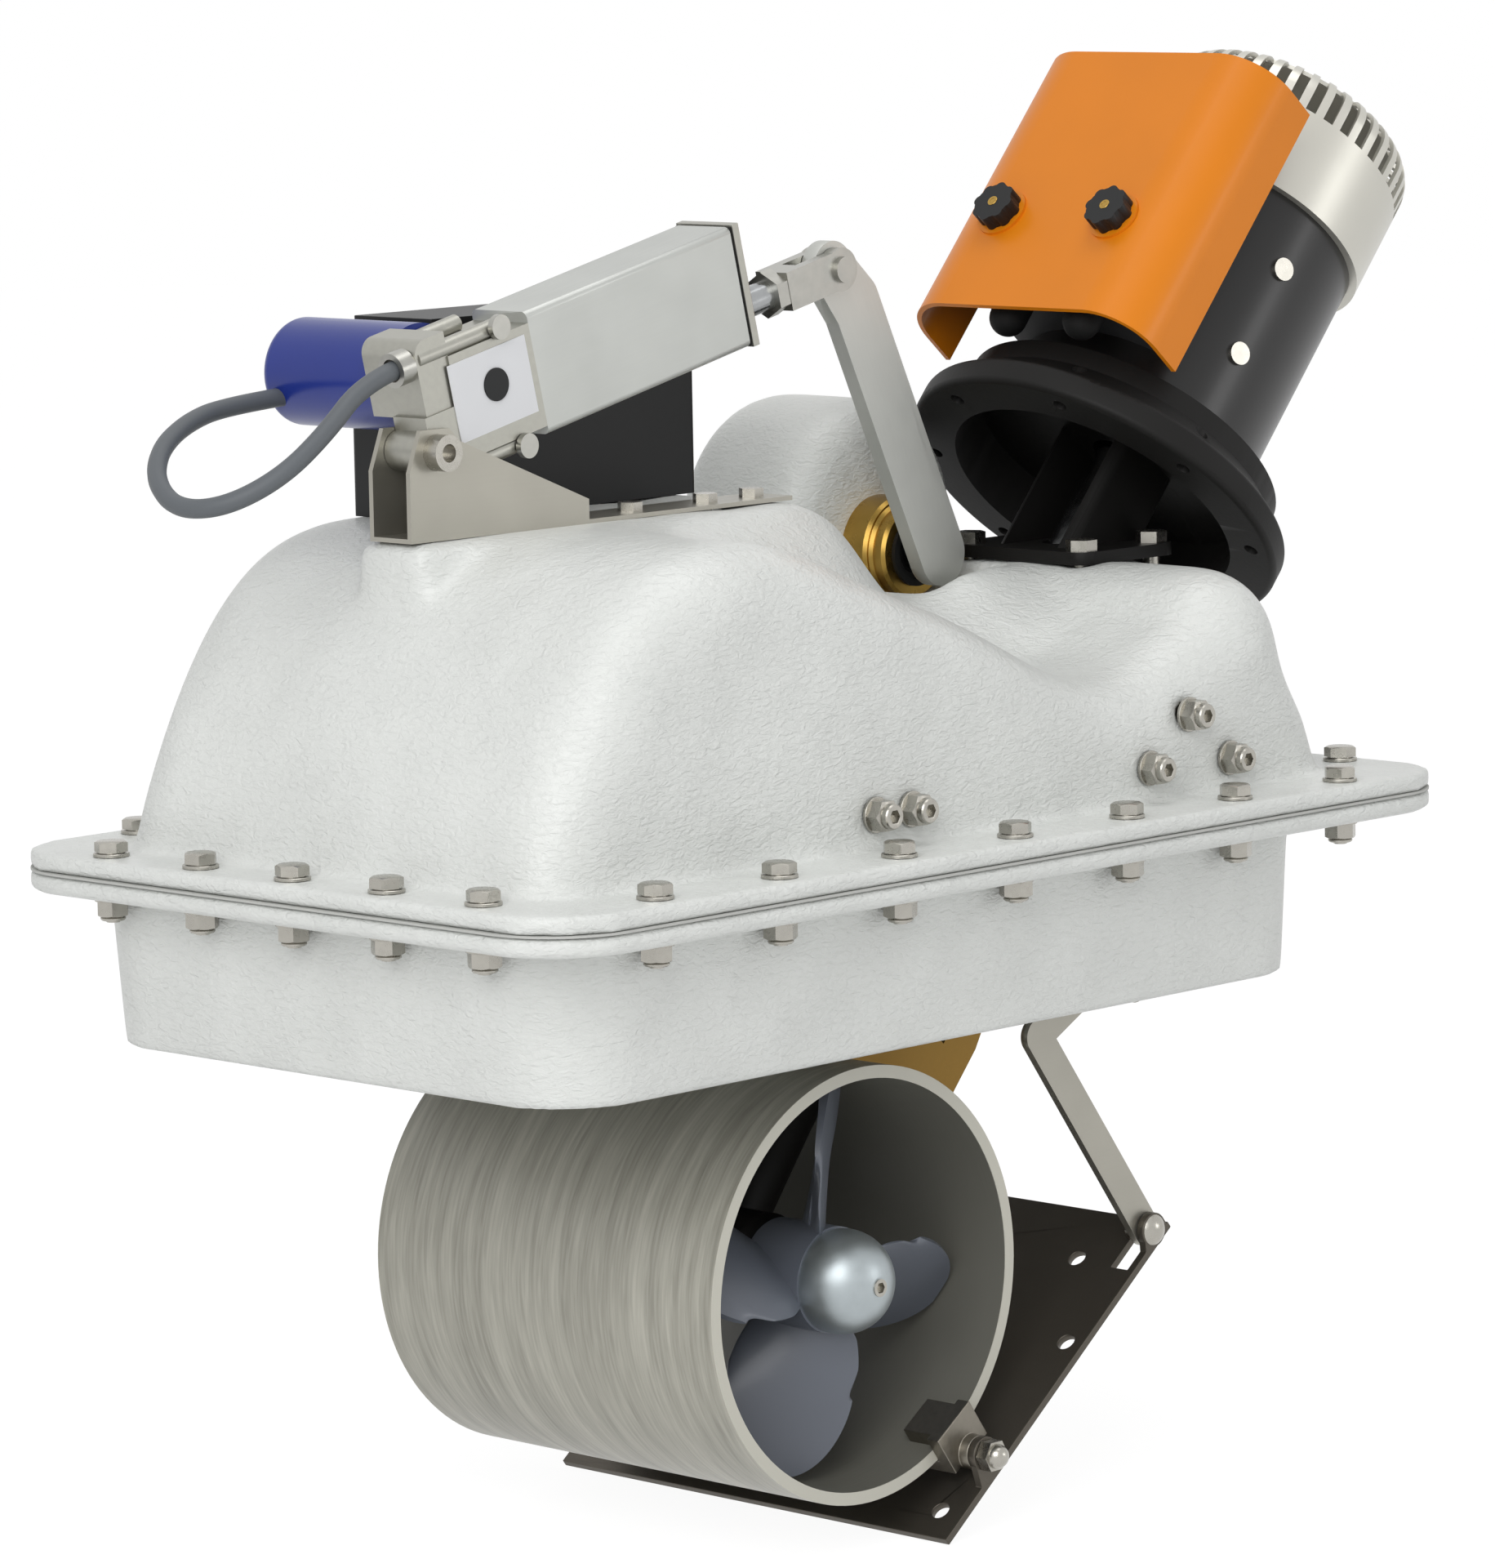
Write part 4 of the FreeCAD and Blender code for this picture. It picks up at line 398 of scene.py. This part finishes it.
# %% Softened housings
def softened(node, name, voxel, stages):
    """Even-skinned copy of a CAD node, smoothed in stages of (passes, freedom); freedom(x, y, z)
    is each point's share of the move, 0 to 1."""
    copy = bpy.data.objects.new(name, nodes[node].data.copy())
    bpy.context.scene.collection.objects.link(copy)
    skin = copy.modifiers.new("even skin", "REMESH")
    skin.mode, skin.voxel_size = "VOXEL", voxel * MM
    graph = bpy.context.evaluated_depsgraph_get()
    mesh = bpy.data.meshes.new_from_object(copy.evaluated_get(graph))
    copy.modifiers.clear()
    copy.data = mesh
    points = np.empty(len(mesh.vertices) * 3)
    mesh.vertices.foreach_get("co", points)
    points = points.reshape(-1, 3)
    ends = np.empty(len(mesh.edges) * 2, dtype=np.int64)
    mesh.edges.foreach_get("vertices", ends)
    first, second = ends.reshape(-1, 2).T
    count = np.bincount(first, minlength=len(points)) + np.bincount(second, minlength=len(points))
    for passes, freedom in stages:
        share = 0.5 * freedom(*(points.T / MM))[:, None]
        for _ in range(passes):
            total = np.stack([np.bincount(first, points[second, k], len(points))
                              + np.bincount(second, points[first, k], len(points))
                              for k in range(3)], 1)
            points += share * (total / count[:, None] - points)
    mesh.vertices.foreach_set("co", points.ravel())
    mesh.polygons.foreach_set("use_smooth", [True] * len(mesh.polygons))
    mesh.update()
    mesh.materials.clear()
    mesh.materials.append(gelcoat)
    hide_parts(node)
    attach(copy, "hull_unit")
    print(name, len(mesh.polygons), "faces")


def ramp(value, start, length):
    """0 before start, 1 after start plus length, and straight between."""
    return np.clip((value - start) / length, 0, 1)


EDGE = 0.12     # freedom of the sawn flanges
VOXEL = 2.6     # mm, about half the laminate's thickness
softened("upper_housing", "upper_shell", VOXEL, [
    (26, lambda x, y, z: EDGE + (1 - EDGE) * ramp(z, 9.2, 6)),     # all that is above the flange
    (70, lambda x, y, z: ramp(x, 200, 25) * ramp(z, 34, 20))])     # more for the rounded nose
softened("lower_housing", "lower_shell", VOXEL, [     # between the flange and the lower rim
    (12, lambda x, y, z: EDGE + (1 - EDGE) * ramp(-z, 11.5, 5) * ramp(z, -78, 3))])

# %% [markdown]
# ## Broken edges on the metalwork
# No machined or folded edge is perfectly sharp: it is filed, tumbled or rolled to a small radius
# that catches the light. A weld joins the imported faces and a narrow bevel rounds the edges that
# turn by more than 30 degrees. Both are modifiers, so the engineering mesh itself stays as it is.

# %% Small edge radii
def break_edges(width, *names):
    """Join the faces of these CAD nodes and round their sharp edges by a width in mm."""
    for name in names:
        part = nodes[name]
        weld = part.modifiers.new("join faces", "WELD")
        weld.merge_threshold = 0.02 * MM
        edge = part.modifiers.new("edge radius", "BEVEL")
        edge.limit_method, edge.angle_limit = "ANGLE", math.radians(30)
        edge.width, edge.segments, edge.harden_normals = width * MM, 2, True


rounded = {0.7: ("lever", "motor_bracket", "tunnel_clamps", "control_box"),
           0.4: ("actuator_case", "actuator_end_cap", "hatch_plate", "link_arms", "cover_knobs",
                 "control_box_lid")}
for width, names in rounded.items():
    break_edges(width, *names)
print("edges rounded on", sum(len(names) for names in rounded.values()), "parts")

# %% [markdown]
# ## Bolts, nuts and threads
# Twenty-four M8 bolts hold the two flanges together. A forged hexagon is turned at 30 degrees on
# its face, which cuts curved scallops at the corners, and the thread shows under each nut. Each
# fastener is one stack of rings round its axis: a ring is a list of radii, one per step of turn.

# %% Ring stacks
STEPS = 36
TURN = [2 * math.pi * k / STEPS for k in range(STEPS)]
TURNED_FACE = 0.93      # width of the turned face over the width across flats
CHAMFER_SLOPE = 0.577   # tangent of the 30 degrees


def hex_radius(turn, flats):
    """Distance from the axis to a hexagon's side at one angle."""
    return flats / 2 / math.cos((turn + math.pi / 6) % (math.pi / 3) - math.pi / 6)


def hex_head(flats, low, high):
    """Rings of a hexagon from low to high with a turned face."""
    face = flats / 2 * TURNED_FACE
    sides = [hex_radius(t, flats) for t in TURN]
    shoulder = [high - (r - face) * CHAMFER_SLOPE for r in sides]
    return [(sides, [low] * STEPS), (sides, shoulder), ([face] * STEPS, [high] * STEPS)]


def disc(radius, low, high, edge=0.25):
    """Rings of a disc from low to high with both edges broken."""
    return [([radius - edge] * STEPS, [low] * STEPS), ([radius] * STEPS, [low + edge] * STEPS),
            ([radius] * STEPS, [high - edge] * STEPS), ([radius - edge] * STEPS, [high] * STEPS)]


def thread(radius, low, high, pitch=1.25):
    """Rings that follow a screw thread: the radius steps in and out once per pitch and turn."""
    rings = []
    for k in range(int((high - low) / (pitch / 4)) + 1):
        h = low + k * pitch / 4
        wave = [radius - 0.3 + 0.3 * math.cos(2 * math.pi * h / pitch - t) for t in TURN]
        rings.append((wave, [h] * STEPS))
    return rings + [([radius - 1.0] * STEPS, [high + 0.6] * STEPS)]


def add_stack(bm, rings, place, axis, spin=0.0):
    """Skin a stack of rings round an axis, turned by spin, and close its ends."""
    aim = axis.to_track_quat("Z", "X").to_matrix().to_4x4()
    matrix = Matrix.Translation(Vector(place) * MM) @ aim @ Matrix.Rotation(spin, 4, "Z")
    loops = []
    for radii, heights in rings:
        loops.append([bm.verts.new(matrix @ (Vector((r * math.cos(t), r * math.sin(t), h)) * MM))
                      for r, h, t in zip(radii, heights, TURN)])
    for lower, upper in zip(loops, loops[1:]):
        for k in range(STEPS):
            bm.faces.new((lower[k - 1], lower[k], upper[k], upper[k - 1]))
    bm.faces.new(reversed(loops[0]))
    bm.faces.new(loops[-1])


def finish_piece(bm, name, material, body, slot, *replaced):
    """Object from a bmesh, smooth except at sharp turns, riding on a body."""
    mesh = bpy.data.meshes.new(name)
    bm.normal_update()
    bm.to_mesh(mesh)
    bm.free()
    mesh.materials.append(material)
    mesh.shade_smooth()
    mesh.set_sharp_from_angle(angle=math.radians(32))
    piece = bpy.data.objects.new(name, mesh)
    bpy.context.scene.collection.objects.link(piece)
    if replaced:
        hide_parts(*replaced)
    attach(piece, body)


print("fastener rings have", STEPS, "steps")

# %% [markdown]
# Seven bolts stand along each long side and five along each short one. Each has a washer and a
# head above the flange and a washer and a collared lock nut below it, and every hexagon stops at
# its own turn, as it does when a spanner lets go.

# %% Flange bolts and nuts
Z_AXIS, Y_AXIS = Vector((0, 0, 1)), Vector((0, 1, 0))
PITCH_X, ROW_Y = 74.8, 162.0        # mm along the long sides, and their distance from the middle
PITCH_Y, ROW_X = 58.45, 280.0       # the same for the short sides
WASHER_R, BOLT_R, ACROSS_FLATS = 8.0, 4.0, 13.0
HEAD_WASHER, HEAD_SEAT, HEAD_TOP = 8.0, 9.6, 14.9               # mm above the joint plane
NUT_WASHER, NUT_SEAT, NUT_END, COLLAR_END = 10.0, 11.6, 18.4, 20.2     # mm below it
bolt_places = [((k - 3) * PITCH_X, s * ROW_Y) for k in range(7) for s in (-1, 1)]
bolt_places += [(s * ROW_X, (k - 2) * PITCH_Y) for k in range(5) for s in (-1, 1)]
spins = np.random.default_rng(7).uniform(0, math.pi / 3, len(bolt_places))
bolts, nuts = bmesh.new(), bmesh.new()
for (x, y), spin in zip(bolt_places, spins):
    place = (x, y, 0)
    add_stack(bolts, disc(WASHER_R, HEAD_WASHER, HEAD_SEAT), place, Z_AXIS)
    head = disc(5.9, HEAD_SEAT, HEAD_SEAT + 0.5, 0.1)
    head += hex_head(ACROSS_FLATS, HEAD_SEAT + 0.5, HEAD_TOP)
    add_stack(bolts, head, place, Z_AXIS, spin)
    add_stack(bolts, thread(BOLT_R, 9.0, COLLAR_END + 0.2), place, -Z_AXIS)
    add_stack(nuts, disc(WASHER_R, NUT_WASHER, NUT_SEAT), place, -Z_AXIS)
    nut = [([BOLT_R + 0.2] * STEPS, [NUT_SEAT] * STEPS)]
    nut += hex_head(ACROSS_FLATS, NUT_SEAT + 0.1, NUT_END)
    nut += disc(5.6, NUT_END, COLLAR_END, 0.6)
    add_stack(nuts, nut, place, -Z_AXIS, 2 * spin)
finish_piece(bolts, "flange_bolt_set", fastener_steel, "hull_unit", "stainless", "flange_bolts")
finish_piece(nuts, "flange_nut_set", fastener_steel, "hull_unit", "stainless", "flange_nuts")
print("bolts and nuts:", len(bolt_places), "each")

# %% [markdown]
# Ten more bolts pass through the side walls and hold the pivot plates and the stops inside. Each
# shows a washer, a hexagon and a round end with a socket in it, and its shank runs inwards.

# %% Wall bolts with socket ends
WALL_FACE = 138.0                                   # mm from the middle to the wall's flat face
SEAT, HEX_END, SOCKET_FLATS = 1.6, 8.4, 5.6         # mm out from that face, and across flats
wall_places = [(145.59, 45.3), (117.99, 23.6), (173.99, 22.4), (-64.0, 23.0), (-41.0, 23.0)]
walls = bmesh.new()
for x, z in wall_places:
    for side in (-1, 1):
        out = Y_AXIS * side
        foot = (x, side * WALL_FACE, z)
        add_stack(walls, disc(WASHER_R, 0.0, SEAT), foot, out)
        end = [([r] * STEPS, [h] * STEPS)
               for r, h in ((5.6, HEX_END), (5.6, 11.3), (5.1, 11.9), (3.6, 11.9))]
        end += [([hex_radius(t, SOCKET_FLATS) for t in TURN], [h] * STEPS) for h in (11.8, 8.6)]
        add_stack(walls, hex_head(ACROSS_FLATS, SEAT, HEX_END)[:2] + end, foot, out)
        add_stack(walls, [([BOLT_R] * STEPS, [h] * STEPS) for h in (-12.9, 0.5)], foot, out)
finish_piece(walls, "wall_bolt_set", fastener_steel, "hull_unit", "stainless", "wall_bolts")
print("wall bolts:", 2 * len(wall_places))

# %% [markdown]
# ## Inserts in the knobs
# Each hand knob is moulded round a threaded brass insert, whose end shows in the middle of its
# face. The face is found from the knob's own mesh: it is the part that lies furthest out along
# the direction the cover faces, which is square to the tilted motor.

# %% Knob inserts
motor_tilt = math.radians(41.0)
outward = Vector((-math.cos(motor_tilt), 0, math.sin(motor_tilt)))
knob_points = [v.co.copy() for v in nodes["cover_knobs"].data.vertices]
inserts = bmesh.new()
for side in (-1, 1):
    own = [p for p in knob_points if p.y * side > 0]
    height = max(p.dot(outward) for p in own)
    face_points = [p for p in own if p.dot(outward) > height - 0.2 * MM]
    centre = sum(face_points, Vector()) / len(face_points)
    add_stack(inserts, disc(2.6, -1.0, 0.25, 0.1) + disc(1.5, 0.2, 0.1, 0.05), centre / MM, outward)
finish_piece(inserts, "knob_inserts", turned_brass, "hull_unit", "brass")
print("knob inserts: 2")

# %% [markdown]
# ## Floor, background and light
# A pale floor catches the object's shadow and a white surround shows behind it and in the
# metals. Both are brighter where they are seen directly than where they only light the object,
# which keeps the background white without washing out the colours.

# %% Floor and surround
FLOOR_RADIUS, FLOOR_GAP = 9, 0.0005     # metres; the gap keeps the floor clear of the object


def seen_directly(tree):
    """1 for rays from the camera, off shiny faces or through glass, and 0 for all others."""
    path = add_node(tree, "LightPath")
    direct = add_node(tree, "Math", {"operation": "MAXIMUM"},
                      {0: path.outputs["Is Camera Ray"], 1: path.outputs["Is Glossy Ray"]})
    direct = add_node(tree, "Math", {"operation": "MAXIMUM"},
                      {0: direct.outputs[0], 1: path.outputs["Is Transmission Ray"]})
    return direct.outputs[0]


floor_mesh = bpy.data.meshes.new("floor")
low_z = cad_box[0][2] - FLOOR_GAP
ring = [(FLOOR_RADIUS * math.cos(a), FLOOR_RADIUS * math.sin(a), low_z)
        for a in np.linspace(0, 2 * math.pi, 64, endpoint=False)]
floor_mesh.from_pydata(ring, [], [list(range(len(ring)))])
floor = bpy.data.objects.new("floor", floor_mesh)
bpy.context.scene.collection.objects.link(floor)
pale, tree, shader = new_material("pale studio floor", "#f4f4f4", 0.9)
share = add_node(tree, "Math", {"operation": "MULTIPLY", 1: 0.82}, {0: seen_directly(tree)})
white = add_node(tree, "Emission", {"Color": (1, 1, 1, 1), "Strength": 1.13})
blend = add_node(tree, "MixShader",
                 links={0: share.outputs[0], 1: shader.outputs[0], 2: white.outputs[0]})
tree.links.new(blend.outputs[0], tree.nodes["Material Output"].inputs["Surface"])
floor_mesh.materials.append(pale)
world = bpy.data.worlds.new("surround")
bpy.context.scene.world = world
world.use_nodes = True
tree = world.node_tree
strength = add_node(tree, "MapRange", {"To Min": 0.40, "To Max": 1.0},
                    {"Value": seen_directly(tree)})
tree.links.new(strength.outputs[0], tree.nodes["Background"].inputs["Strength"])
tree.nodes["Background"].inputs["Color"].default_value = (1, 1, 1, 1)
print("floor at", round(low_z, 4), "m")

# %% [markdown]
# One large soft lamp stands a little to the camera's left, another hangs above the object, and a
# small one far to the right opens the shadows on that side.

# %% Lamps
def soft_lamp(name, place, size, power):
    """Square area lamp that looks at the object's middle."""
    lamp = bpy.data.objects.new(name, bpy.data.lights.new(name, "AREA"))
    lamp.data.size, lamp.data.energy = size, power
    lamp.location = place
    lamp.rotation_euler = (-Vector(place)).to_track_quat("-Z", "Y").to_euler()
    bpy.context.scene.collection.objects.link(lamp)


soft_lamp("key", (-2.1, -1.25, 1.35), 1.9, 46)
soft_lamp("top", (0.3, -0.3, 2.9), 1.8, 22)
soft_lamp("front", (1.4, -2.4, 0.5), 0.7, 6)
print("three soft lamps")

# %% [markdown]
# ## Closing the script
# The view layer is brought up to date at the end. The cable counts here with its control points,
# which reach 1.6 mm past the curve itself.

# %% Finish
bpy.context.view_layer.update()
